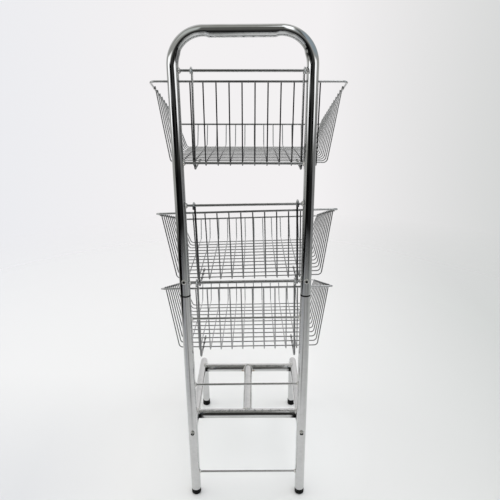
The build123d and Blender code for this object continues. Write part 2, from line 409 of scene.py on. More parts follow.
def weld_bead(end: Point, away: Point, radius: float, cope: Cope, width: float, seed: int) -> Surface:
    """A bead of weld round the end of a bar that meets another bar.

    A small round section is carried along the seam. Its width swells once in each puddle of weld, by a cosine of
    the angle, and drifts by slow waves of random phase.

    Args:
        end: The end of the bar's path, on the other bar's axis.
        away: The direction along the bar, away from the other one.
        radius: The bar's radius.
        cope: The other bar.
        width: The bead's mean radius.
        seed: Picks the phases of the drift.

    Returns:
        The bead's surface.
    """
    away = unit(away)
    beside = unit(np.cross(away, cope.axis))
    girth = 2.0 * math.pi * radius
    angle = around(int(max(BEAD_STEPS, girth / BEAD_STEP)))[:, None]
    outward = np.cos(angle) * beside + np.sin(angle) * np.cross(away, beside)
    seam = end + radius * outward + cope.slide(radius * outward, away)[:, None] * away
    phases = np.random.default_rng(seed).uniform(0.0, 2.0 * math.pi, DRIFT_WAVES)
    drift = np.sin((1.0 + np.arange(DRIFT_WAVES)) * angle + phases).mean(1, keepdims=True)
    puddles = round(girth / (PUDDLE * width))
    swell = width * (1.0 + PUDDLE_SWELL * np.cos(puddles * angle) + DRIFT_SWELL * drift)
    section = around(BEAD_SIDES)[:, None]
    spread = np.cos(section) * outward[:, None, :] - np.sin(section) * away
    rings = seam[:, None, :] + swell[:, None] * spread
    return ring_surface(rings, rings - end, True)


def weld_spots(centres: Array, spread: Point) -> Surface:
    """Small flattened beads of weld, one on each centre.

    A bead is a ball stretched by the spread: the sine of the angle from its pole times the cosine and sine around
    it, and the cosine of the angle from its pole.

    Args:
        centres: The centres, one row each.
        spread: The half sizes of a bead.

    Returns:
        The surface of all beads.
    """
    turn, down = around(SPOT_SIDES), math.pi * np.array(SPOT_RINGS)[:, None]
    ball = [np.sin(down) * np.cos(turn), np.sin(down) * np.sin(turn), np.cos(down) + 0.0 * turn]
    ball = np.stack(ball, -1) * spread
    one = ring_surface(ball, ball)
    return joined([moved(one, centre) for centre in centres])


# Finishes

def linear(code: str) -> tuple[float, float, float, float]:
    """A colour written as an sRGB hex code, in linear light with full alpha.

    A part up to 0.04045 is divided by 12.92, and a greater one plus 0.055, over 1.055, is raised to the power of 2.4.

    Args:
        code: The hex code.

    Returns:
        Red, green, blue and alpha.
    """
    parts = np.array([int(code[start:start + 2], 16) for start in (1, 3, 5)]) / 255.0
    values = np.where(parts <= 0.04045, parts / 12.92, ((parts + 0.055) / 1.055) ** 2.4)
    return (*values.tolist(), 1.0)


def add(tree: Tree, kind: str, inputs: dict[Any, Any] | None = None, out: int | str = 0,
        stops: Sequence[tuple[float, Sequence[float]]] = (), **settings: Any) -> Socket | None:
    """Adds a node, sets it up and links it.

    Args:
        tree: The node tree.
        kind: The node's type, without its prefix.
        inputs: Values, or outputs of other nodes, by the input's name or number.
        out: The name or number of the output to give back.
        stops: Places and colours of a colour ramp.
        **settings: The node's own settings.

    Returns:
        The output, or nothing where the node has none.
    """
    node = tree.nodes.new("ShaderNode" + kind)
    for name, value in settings.items():
        setattr(node, name, value)
    for name, value in (inputs or {}).items():
        if isinstance(value, Socket):
            tree.links.new(value, node.inputs[name])
        else:
            node.inputs[name].default_value = value
    for index, (place, colour) in enumerate(stops):
        ramp = node.color_ramp.elements
        stop = ramp[index] if index < 2 else ramp.new(place)
        stop.position, stop.color = place, colour
    return node.outputs[out] if node.outputs else None


def new_material(name: str) -> tuple[Tree, Material]:
    """An empty material.

    Args:
        name: The material's name.

    Returns:
        Its node tree and the material.
    """
    made = bpy.data.materials.new(name)
    made.use_nodes = True
    made.node_tree.nodes.clear()
    return made.node_tree, made


@dataclass(frozen=True)
class PlatedSteel:
    """Drawn steel under a plated coat: lines along the bar, patches of haze, and a slow waviness of the skin."""

    name: str  # the material's name
    colour: str  # the clean plate
    stain: str  # the plate where it is hazed
    roughness: Ends  # the least and greatest roughness
    line: float  # spacing of the drawing lines, in millimetres
    run: float  # their length
    patch: float  # size of a patch of haze
    wave: float  # length of the skin's waves
    line_depth: float  # depth of the lines
    wave_depth: float  # depth of the waves
    stain_share: float = 0.5  # how much stain a full patch shows
    haze: Ends = (0.42, 0.68)  # where in the pattern of patches the haze begins and is full
    line_share: float = 0.3  # how much of the roughness follows the lines, not the haze
    spangle: float = 5.0  # size of the plate's crystals
    spangle_share: float = 0.0  # how much they show beside the haze
    tarnish: str = "#141312"  # the plate where shade is painted
    scorch: str = "#7a6247"  # the plate browned by a weld

    @cache
    def material(self) -> Material:
        """Builds the material, once.

        Returns:
            The material.
        """
        tree, made = new_material(self.name)
        place = add(tree, "Attribute", out="Vector", attribute_name="straight")
        shade_mask, burnt = (add(tree, "Attribute", out="Fac", attribute_name=mark) for mark in ("tarnish", "scorch"))
        along = add(tree, "Mapping", {"Vector": place, "Scale": (1 / self.line, 1 / self.line, 1 / self.run)})
        lines = add(tree, "TexNoise", {"Vector": along, "Scale": 1.0, "Detail": 2.0})
        waves = add(tree, "TexNoise", {"Vector": place, "Scale": 1 / self.wave, "Detail": 1.0})
        patches = add(tree, "TexNoise", {"Vector": place, "Scale": 1 / self.patch, "Detail": 5.0, "Roughness": 0.6})
        cells = add(tree, "TexVoronoi", {"Vector": place, "Scale": 1 / self.spangle}, "Color")
        haze = add(tree, "MapRange", {"Value": patches, "From Min": self.haze[0], "From Max": self.haze[1]})
        haze = add(tree, "Mix", {0: self.spangle_share, 2: haze, 3: add(tree, "SeparateColor", {0: cells})})
        share = add(tree, "Math", {0: haze, 1: self.stain_share}, operation="MULTIPLY")
        colour, edge = linear(self.colour), linear(WHITE)
        # The painted shade mark darkens the colour and the edge tint: painted shade and dark reflections
        for mask, code in ((share, self.stain), (burnt, self.scorch), (shade_mask, self.tarnish)):
            colour = add(tree, "Mix", {0: mask, 6: colour, 7: linear(code)}, 2, data_type="RGBA")
        edge = add(tree, "Mix", {0: shade_mask, 6: edge, 7: linear(self.tarnish)}, 2, data_type="RGBA")
        worn = add(tree, "Mix", {0: self.line_share, 2: haze, 3: lines})
        rough = add(tree, "MapRange", {"Value": worn, "To Min": self.roughness[0], "To Max": self.roughness[1]})
        skin = {"Height": waves, "Distance": self.wave_depth * METRES, "Strength": 1.0}
        grooves = {"Height": lines, "Distance": self.line_depth * METRES, "Strength": 1.0}
        normal = add(tree, "Bump", {**grooves, "Normal": add(tree, "Bump", skin)})
        shader = add(tree, "BsdfPrincipled", {"Base Color": colour, "Metallic": 1.0, "Roughness": rough,
                                              "Specular Tint": edge, "Normal": normal})
        add(tree, "OutputMaterial", {"Surface": shader})
        return made


@dataclass(frozen=True)
class MouldedRubber:
    """Moulded black rubber: a dull skin with a fine grain and pale dust in patches."""

    name: str  # the material's name
    colour: str  # the clean rubber
    dust: str  # the rubber under dust
    grain: float  # size of the mould's grain, in millimetres
    patch: float  # size of a patch of dust
    grain_depth: float  # depth of the grain
    dusty: Ends = (0.45, 0.8)  # where in the pattern of patches the dust begins and is full
    dust_share: float = 0.6  # how much of the dust shows in a full patch
    roughness: Ends = (0.42, 0.75)  # the roughness of the clean rubber and of the dust
    ior: float = 1.2  # lower than the usual 1.5, matched to feet that hardly shine

    @cache
    def material(self) -> Material:
        """Builds the material, once.

        Returns:
            The material.
        """
        tree, made = new_material(self.name)
        place = add(tree, "Attribute", out="Vector", attribute_name="straight")
        grains = add(tree, "TexNoise", {"Vector": place, "Scale": 1 / self.grain, "Detail": 3.0})
        patches = add(tree, "TexNoise", {"Vector": place, "Scale": 1 / self.patch, "Detail": 4.0})
        dusty = add(tree, "MapRange", {"Value": patches, "From Min": self.dusty[0], "From Max": self.dusty[1],
                                       "To Max": self.dust_share})
        colours = {6: linear(self.colour), 7: linear(self.dust)}
        colour = add(tree, "Mix", {0: dusty, **colours}, 2, data_type="RGBA")
        rough = add(tree, "MapRange", {"Value": dusty, "To Min": self.roughness[0], "To Max": self.roughness[1]})
        normal = add(tree, "Bump", {"Height": grains, "Distance": self.grain_depth * METRES, "Strength": 1.0})
        shader = add(tree, "BsdfPrincipled", {"Base Color": colour, "Roughness": rough, "Normal": normal,
                                              "IOR": self.ior})
        add(tree, "OutputMaterial", {"Surface": shader})
        return made


# The lines that drawing and polishing leave lie some hundredths of a millimetre apart, too fine to show. They are
# drawn coarser here, as is the grain of the rubber.
# Polished chrome on the handle: a dark mirror with crisp bands, faint polishing lines and a little waviness
CHROMED_TUBE = PlatedSteel("chrome_plated_tube", "#c9cacb", "#b4b5b2", (0.025, 0.07), line=0.5, run=60.0, patch=38.0,
                           wave=30.0, line_depth=0.0004, wave_depth=0.05)
# Chrome on thin rod, less polished: the bands blur a little and the drawing lines show
CHROMED_ROD = PlatedSteel("chrome_plated_rod", "#adaeaf", "#868682", (0.1, 0.22), line=0.3, run=25.0, patch=14.0,
                          wave=18.0, line_depth=0.001, wave_depth=0.02)
# Chrome on basket wire: bright along the top, grey at the sides, hazy in patches, and darkened by painted shade
CHROMED_WIRE = PlatedSteel("chrome_plated_wire", "#c6c7c8", "#9b9b97", (0.12, 0.28), line=0.25, run=20.0, patch=11.0,
                           wave=15.0, line_depth=0.001, wave_depth=0.015, tarnish="#3c3c3e")
# Bright zinc on the lower tubes: a pale mirror, a little blurred, with faint clouds and crystals in it
ZINC_TUBE = PlatedSteel("zinc_plated_tube", "#cfcfcf", "#b4b4b4", (0.035, 0.11), line=0.6, run=45.0, patch=22.0,
                        wave=26.0, line_depth=0.002, wave_depth=0.03, spangle=4.5, spangle_share=0.35)
# Zinc on the tubes across the base, smoother than the rest: the room's dark bands show crisp in it
BRIGHT_ZINC_TUBE = replace(ZINC_TUBE, name="bright_zinc_tube", roughness=(0.012, 0.045), line_depth=0.001,
                           wave_depth=0.006, spangle_share=0.2)
# Zinc with a yellow passivate on the bolts, nuts and washers, mostly worn off: near white, dull, with yellowish patches
ZINC_HARDWARE = PlatedSteel("yellow_zinc_hardware", "#ececea", "#c9c6b8", (0.3, 0.5), line=0.4, run=5.0, patch=4.0,
                            wave=6.0, line_depth=0.004, wave_depth=0.02, stain_share=0.8, tarnish="#161514")
# Weld beads under the plate: pale and dull, a little warmer in patches
WELD_METAL = PlatedSteel("plated_weld", "#e4e3e1", "#bdb8b0", (0.22, 0.45), line=0.8, run=1.2, patch=3.0,
                         wave=2.0, line_depth=0.01, wave_depth=0.05, stain_share=0.8, tarnish="#1c1c1b")
# Rubber feet: near black with a dull sheen on the rounded edges
RUBBER = MouldedRubber("moulded_rubber", "#020202", "#090909", grain=0.5, patch=7.0, grain_depth=0.03)


Finish = PlatedSteel | MouldedRubber


# Pieces

def stand_origin() -> Array:
    """Where the floor point below the middle of the uprights lies in the shared frame, in millimetres."""
    low, high = (np.array(corner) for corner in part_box("handle_frame"))
    return (low + high) / 2.0 / METRES * (1.0, 1.0, 0.0)


def make_piece(name: str, surface: Surface, finish: Finish, slot: str, nodes: Sequence[str] = (),
               body: str = "stand", **marks: Array) -> None:
    """Puts a surface into the scene as a piece that rides on a body.

    Args:
        name: The piece's name.
        surface: Its surface, from the stand's own origin.
        finish: Its finish.
        slot: The record's material slot; not used.
        nodes: The solids that it stands for.
        body: The body that it moves with.
        **marks: How far painted shade darkens the plate and how far a weld scorched it at each corner, from nought to
                 one, by the mark's name.
    """
    mesh = bpy.data.meshes.new(name)
    mesh.from_pydata(((surface.points + stand_origin()) * METRES).tolist(), [], surface.faces)
    mesh.polygons.foreach_set("use_smooth", np.ones(len(mesh.polygons), bool))
    mesh.set_sharp_from_angle(angle=SHARP_ANGLE)
    straight = mesh.attributes.new("straight", "FLOAT_VECTOR", "POINT")
    straight.data.foreach_set("vector", surface.straight.astype(np.float32).ravel())
    for mark, values in marks.items():
        mesh.attributes.new(mark, "FLOAT", "POINT").data.foreach_set("value", values.astype(np.float32))
    mesh.materials.append(finish.material())
    piece = bpy.data.objects.new(name, mesh)
    bpy.context.scene.collection.objects.link(piece)
    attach(piece, body)
    if nodes:
        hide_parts(*nodes)
    log.info("%s: %d faces on %s", name, len(mesh.polygons), body)


@dataclass(frozen=True)
class Uprights:
    """What the sections of the frame share, in millimetres."""

    radius: float = 13.45  # outer radius of the uprights
    wall: float = 1.2  # wall of the frame's tubes
    x: float = 152.0  # distance of each upright from the middle
    rod_radius: float = 3.0  # radius of the rods between them
    rod_end: float = 18.0  # length of the end of a rod that is cut to fit
    weld: float = 3.2  # mean radius of a weld bead at a rod's end

    def bore(self) -> float:
        """The radius of the tubes' bore."""
        return self.radius - self.wall

    def cope(self) -> Cope:
        """An upright as what a bar's end is cut to fit."""
        return Cope(Z_AXIS, self.radius)

    def rod(self, heights: Ends) -> Surface:
        """A rod from upright to upright.

        Args:
            heights: The heights of its axis at the left and the right upright.

        Returns:
            Its surface.
        """
        inner = self.x - self.rod_end
        stops = np.array([-self.x, -inner, inner, self.x])
        path = np.stack([stops, 0.0 * stops, np.interp(stops, (-self.x, self.x), heights)], -1)
        return solid_bar(path, self.rod_radius, ROD_SIDES, Y_AXIS, copes=(self.cope(), self.cope()))

    def build_rods(self, section: str, rods: dict[str, Ends], finish: Finish, slot: str, seed: int) -> None:
        """Builds and dresses a section's rods and the weld beads at their ends.

        Args:
            section: The section's name.
            rods: The heights of each rod at the left and the right upright, by its name.
            finish: The rods' finish.
            slot: The record's material slot.
            seed: Picks the shapes of the beads.
        """
        beads = []
        for name, heights in rods.items():
            make_piece(name + "_bar", self.rod(heights), finish, slot, [name])
            for side, height in zip(Side, heights):
                beads.append(weld_bead((side.value * self.x, 0.0, height), (-side.value, 0.0, 0.0), self.rod_radius,
                                       self.cope(), self.weld, seed + len(beads)))
        make_piece(section + "_rod_welds", joined(beads), WELD_METAL, slot)


@dataclass
class UpperSection:
    """The handle tube, bent to an upside-down U, and the rods across it."""

    uprights: Uprights = Uprights()
    seam: float = 644.5
    handle_axis: float = 1256.55
    bend: float = 69.0
    bend_steps: int = 36
    bend_flat: float = 2.4
    # Where the flat begins and ends, and extra rings for it, by the length from the handle's middle
    flat_start: Ends = (70.0, 80.0)
    flat_end: Ends = (150.0, 165.0)
    flat_rings: Ends = (82.0, 62.0)
    flat_steps: int = 11
    lip: float = 0.35
    weld_seed: int = 11
    rods: dict[str, Ends] = field(default_factory=lambda: {
        "top_hang_rod": (1178.3, 1175.9), "top_rest_rod": (977.427, 974.127),
        "middle_hang_rod": (875.691, 878.691), "lower_hang_rod": (675.418, 679.418)})

    def handle_tube(self) -> Surface:
        """The handle tube, with a small bevel at its two open ends.

        Bending flattened the inner side of its two bends: the radius falls there by the cosine of the angle from the
        inside, and the flat fades in and out over the distance from the middle of the handle.

        Returns:
            Its surface.
        """
        x, top, step = self.uprights.x, self.handle_axis, np.array([(0.0, 0.0, self.lip)])
        corners = [(-x, 0.0, self.seam), (-x, 0.0, top), (x, 0.0, top), (x, 0.0, self.seam)]
        path = rounded_path(corners, (self.bend, self.bend), self.bend_steps)
        left, right = np.split(path, 2)
        run = np.array([(-shift, 0.0, top) for shift in np.linspace(*self.flat_rings, self.flat_steps)])
        path = np.concatenate([left[:1], left[:1] + step, left[1:], run, run[::-1] * (-1.0, 1.0, 1.0),
                               right[:-1], right[-1:] + step, right[-1:]])
        away = np.abs(lengths(path) - lengths(path)[-1] / 2.0)
        press = fade(away, *self.flat_start) * (1.0 - fade(away, *self.flat_end))
        flat = self.bend_flat * press[:, None] * np.cos(around(TUBE_SIDES)).clip(0.0)
        outer = self.uprights.radius - flat
        outer[[0, -1]] -= self.lip
        return hollow_tube(path, outer, self.uprights.bore() - flat, Y_AXIS)

    def build(self) -> None:
        """Builds and dresses the section."""
        make_piece("handle_tube", self.handle_tube(), CHROMED_TUBE, "chromed_tube", ["handle_frame"])
        self.uprights.build_rods("upper", self.rods, CHROMED_ROD, "chromed_rod", self.weld_seed)


@dataclass
class LowerSection:
    """The two lower uprights with swaged tops, the rods across them and the rubber feet below."""

    uprights: Uprights = Uprights()
    bottom: float = 17.6
    seam: float = 644.4
    swage: float = 3.2
    swage_steps: int = 9
    # Below the swage the tube is painted dark over this length: painted shade in the crease under the seam
    swage_shade: float = 0.6
    spigot_radius: float = 12.05
    spigot_top: float = 718.5
    lip: float = 0.35
    lip_height: float = 0.4
    foot_height: float = 17.5
    foot_round: float = 4.0
    foot_edge: Ends = (0.5, 0.6)  # how far its bevel at the top runs in and down
    stem_height: float = 22.0
    stem_gap: float = 0.2
    stem_step: float = 0.02
    ribs: int = 13
    rib_depth: float = 0.35
    weld_seed: int = 41
    rods: dict[str, Ends] = field(default_factory=lambda: {
        "lower_rest_rod": (574.782, 578.282), "brace_rod": (374.409, 376.509), "foot_rod": (75.4, 76.6)})

    def tube(self) -> Surface:
        """A lower upright.

        Its radius falls to that of its spigot by a half cosine over the length of the swage.

        Returns:
            Its surface.
        """
        share = np.linspace(0.0, 1.0, self.swage_steps)
        wide, narrow, below = self.uprights.radius, self.spigot_radius, self.seam - self.swage
        fall = (1.0 - np.cos(math.pi * share)) / 2.0 * (wide - narrow)
        heights = np.concatenate([[self.bottom, self.bottom + self.lip_height, below - self.swage_shade],
                                  below + self.swage * share, [self.spigot_top - self.lip_height, self.spigot_top]])
        outer = np.concatenate([[wide - self.lip, wide, wide], wide - fall, [narrow, narrow - self.lip]])
        inner = np.minimum(self.uprights.bore(), outer - self.uprights.wall)
        return hollow_tube(heights[:, None] * Z_AXIS, outer, inner, Y_AXIS)

    def foot(self) -> Surface:
        """A rubber plug: a head with a quarter-round lower edge and a ribbed stem up in the tube.

        Returns:
            Its surface.
        """
        head, stem = self.uprights.radius, self.uprights.bore() - self.stem_gap
        (inset, below), top = self.foot_edge, self.foot_height
        radii, heights = quarter_round(head, self.foot_round)
        radii = np.concatenate([radii, [head, head - inset], stem - self.rib_depth * (np.arange(self.ribs) % 2)])
        heights = np.concatenate([heights, [top - below, top],
                                  top + self.stem_step + self.stem_height * np.linspace(0.0, 1.0, self.ribs)])
        return turned(radii, heights, TUBE_SIDES)

    def build(self) -> None:
        """Builds and dresses the section."""
        tube, foot, below = self.tube(), self.foot(), self.seam - self.swage
        # Painted shade in the crease under the seam, full from the swage up
        shade_share = fade(tube.points[:, 2], below - self.swage_shade, below)
        for side in Side:
            name, shift = side.name.lower(), (side.value * self.uprights.x, 0.0, 0.0)
            make_piece(name + "_lower_tube", moved(tube, shift), ZINC_TUBE, "zinc_tube", [name + "_lower_upright"],
                       tarnish=shade_share)
            make_piece(name + "_rear_plug", moved(foot, shift), RUBBER, "rubber", [name + "_rear_foot"])
        self.uprights.build_rods("lower", self.rods, ZINC_TUBE, "zinc_tube", self.weld_seed)


@dataclass(frozen=True)
class CrossTube:
    """A tube across the base and its marks."""

    depth: float  # its distance in front of the uprights, in millimetres
    corner: Ends  # how far from its ends the painted shade in its corners begins and is full
    line: Ends  # the middle and the width of the painted dark reflection along its rear face, in degrees up from the level
    clears: float = 0.0  # how much of the line is lost on the right
    scorch: float = 0.0  # how far the middle tube's weld has browned it


@dataclass
class Base:
    """The base: two bent side tubes with capped front legs, and three tubes welded between them.

    The marks' pairs of sizes are where a mark begins and is full, or begins to clear and has cleared.
    """

    uprights: Uprights = Uprights()
    depth: float = 416.0
    rear_height: float = 224.5
    front_height: float = 200.5
    splay: float = 6.0
    cross_drop: float = 2.0  # below the side tubes' axes
    bend: float = 40.0
    bend_steps: int = 20
    side_radius: float = 12.0
    side_end: float = 30.0
    rear: CrossTube = CrossTube(79.0, corner=(30.0, 17.0), line=(34.0, 14.0))
    front: CrossTube = CrossTube(345.0, corner=(24.0, 14.0), line=(12.0, 10.0), clears=0.5, scorch=1.0)
    middle_end: float = 20.0
    middle_gap: float = 0.01
    overlap: float = 5.0  # of a cross tube and a side tube's outline
    leg_bottom: float = 6.1
    cap_bore: float = 12.2
    cap_wall: float = 1.0
    cap_floor: float = 6.0
    cap_height: float = 20.0
    cap_round: float = 3.0
    # How far inside and below a cap's greatest size its bead runs
    cap_mouth: tuple[Ends, ...] = ((0.5, 6.0), (0.5, 4.5), (0.1, 3.8), (0.0, 1.2), (0.3, 0.2))
    weld: float = 3.0
    weld_sink: float = 0.2
    weld_seed: int = 70
    # Where a cross tube has rings, from its middle and from its ends
    rings: tuple[float, ...] = (0.0, 6.0, 12.0, 17.0, 21.0, 25.0, 30.0, 36.0, 60.0)
    end_rings: tuple[float, ...] = (32.0, 26.0, 20.0, 15.0, 0.0)
    line_share: float = 0.8
    line_clears: Ends = (30.0, 110.0)
    # Where the painted shade in the cross tubes' corners and on the welds ends upward, and where across the base it
    # begins on the welds
    shade_top: Ends = (6.0, 10.0)
    shade_across: Ends = (60.0, 90.0)
    scorch_top: Ends = (-5.0, 2.0)
    scorch_place: Ends = (17.0, 5.0)  # its middle and width on each side

    def run_height(self, depth: Any) -> Any:
        """The height of the side tubes' axes at a distance in front of the uprights."""
        return self.rear_height + (self.front_height - self.rear_height) * (depth / self.depth)

    def run_point(self, across: float, depth: float, drop: float = 0.0) -> Array:
        """A point on a side tube's axis, or between the two.

        Args:
            across: One on the right tube's axis, less one on the left one's.
            depth: The distance in front of the uprights.
            drop: The distance below the axes.

        Returns:
            The point.
        """
        reach = self.uprights.x + self.splay * depth / self.depth
        return np.array([across * reach, depth, self.run_height(depth) - drop])

    def run_cope(self, side: Side) -> Cope:
        """A side tube's run as what a wider tube's end is cut to fit."""
        direction = unit(self.run_point(side.value, self.depth) - self.run_point(side.value, 0.0))
        return Cope(direction, self.side_radius, self.side_radius - self.overlap, self.cross_drop)

    def side_tube(self, side: Side) -> Surface:
        """A side tube from an upright to a front foot.

        Args:
            side: The side of the base.

        Returns:
            Its surface.
        """
        start, end, corner = (self.run_point(side.value, depth) for depth in (0.0, self.side_end, self.depth))
        foot = (corner[0], corner[1], self.leg_bottom)
        path = rounded_path([start, corner, foot], (self.bend,), self.bend_steps)
        path = np.concatenate([path[:1], end[None], path[1:]])
        across = np.cross(path[1] - path[0], Z_AXIS)
        return hollow_tube(path, self.side_radius, self.side_radius - self.uprights.wall, across,
                           (self.uprights.cope(), None))

    def cross_tube(self, tube: CrossTube) -> tuple[Surface, dict[str, Array]]:
        """A tube across the base, with painted shade in its corners, a painted dark reflection along a line on its rear
        face, and scorched below.

        Args:
            tube: Where it lies and how it is marked.

        Returns:
            Its surface and its marks.
        """
        reach, depth, height = self.run_point(Side.RIGHT.value, tube.depth, self.cross_drop)
        half = np.array([*self.rings, *(reach - np.array(self.end_rings))])
        places = np.concatenate([-half[:0:-1], half])
        path = np.stack([places, np.full(len(places), depth), np.full(len(places), height)], -1)
        surface = hollow_tube(path, self.uprights.radius, self.uprights.bore(), Y_AXIS,
                              (self.run_cope(Side.LEFT), self.run_cope(Side.RIGHT)))
        x, y, z = (surface.points - (0.0, depth, height)).T
        outer, inner = tube.corner
        # Painted shade in the corners at its ends and a painted dark reflection along its rear face
        corner = (1.0 - fade(z, *self.shade_top)) * fade(np.abs(x), reach - outer, reach - inner)
        line = self.line_share - tube.clears * fade(x, *self.line_clears)
        line *= bell(np.degrees(np.arctan2(z, -y)), *tube.line)
        scorch = tube.scorch * (1.0 - fade(z, *self.scorch_top)) * bell(np.abs(x), *self.scorch_place)
        return surface, {"tarnish": np.maximum(corner, line), "scorch": scorch}

    def middle_tube(self) -> Surface:
        """The tube along the middle of the base.

        Returns:
            Its surface.
        """
        rear, front = (self.run_point(0.0, tube.depth, self.cross_drop) for tube in (self.rear, self.front))
        end = self.middle_end * unit(front - rear)
        cope = Cope(X_AXIS, self.uprights.radius + self.middle_gap)
        return hollow_tube(np.array([rear, rear + end, front - end, front]), self.uprights.radius,
                           self.uprights.bore(), X_AXIS, (cope, cope))

    def welds(self) -> Surface:
        """The beads round both ends of the three tubes.

        Returns:
            The surface of all beads.
        """
        cross, seams = Cope(X_AXIS, self.uprights.radius), []
        for tube, toward in ((self.rear, 1.0), (self.front, -1.0)):
            seams += [(side.value, tube.depth, (-side.value, 0.0, 0.0), self.run_cope(side)) for side in Side]
            seams.append((0.0, tube.depth, (0.0, toward, 0.0), cross))
        return joined([weld_bead(self.run_point(across, depth, self.cross_drop), away,
                                 self.uprights.radius - self.weld_sink, cope, self.weld, self.weld_seed + index)
                       for index, (across, depth, away, cope) in enumerate(seams)])

    def cap(self) -> Surface:
        """A rubber cap: a quarter-round lower edge, a slight taper, a bead at the mouth and a bore for the leg.

        Returns:
            Its surface.
        """
        wide, top, bore = self.cap_bore + self.cap_wall, self.cap_height, self.cap_bore
        radii, heights = quarter_round(wide, self.cap_round)
        inset, below = np.array(self.cap_mouth).T
        return turned(np.concatenate([radii, wide - inset, [bore, bore]]),
                      np.concatenate([heights, top - below, [top, self.cap_floor]]), TUBE_SIDES)

    def build(self) -> None:
        """Builds and dresses the base."""
        for side in Side:
            name, foot = side.name.lower(), self.run_point(side.value, self.depth) * (1.0, 1.0, 0.0)
            make_piece(name + "_side_tube", self.side_tube(side), ZINC_TUBE, "zinc_tube", [name + "_base_tube"])
            make_piece(name + "_front_cap", moved(self.cap(), foot), RUBBER, "rubber", [name + "_front_foot"])
        for name, tube in (("rear", self.rear), ("front", self.front)):
            surface, marks = self.cross_tube(tube)
            make_piece(name + "_cross_bar", surface, BRIGHT_ZINC_TUBE, "zinc_tube",
                       [name + "_cross_tube"], **marks)
        make_piece("middle_bar", self.middle_tube(), ZINC_TUBE, "zinc_tube", ["centre_tube"])
        welds = self.welds()
        x, y, z = welds.points.T
        # Painted shade low on the beads at the side tubes
        low = 1.0 - fade(z - self.run_height(y) + self.cross_drop, *self.shade_top)
        make_piece("base_welds", welds, WELD_METAL, "zinc_tube",
                   tarnish=low * fade(np.abs(x), *self.shade_across))


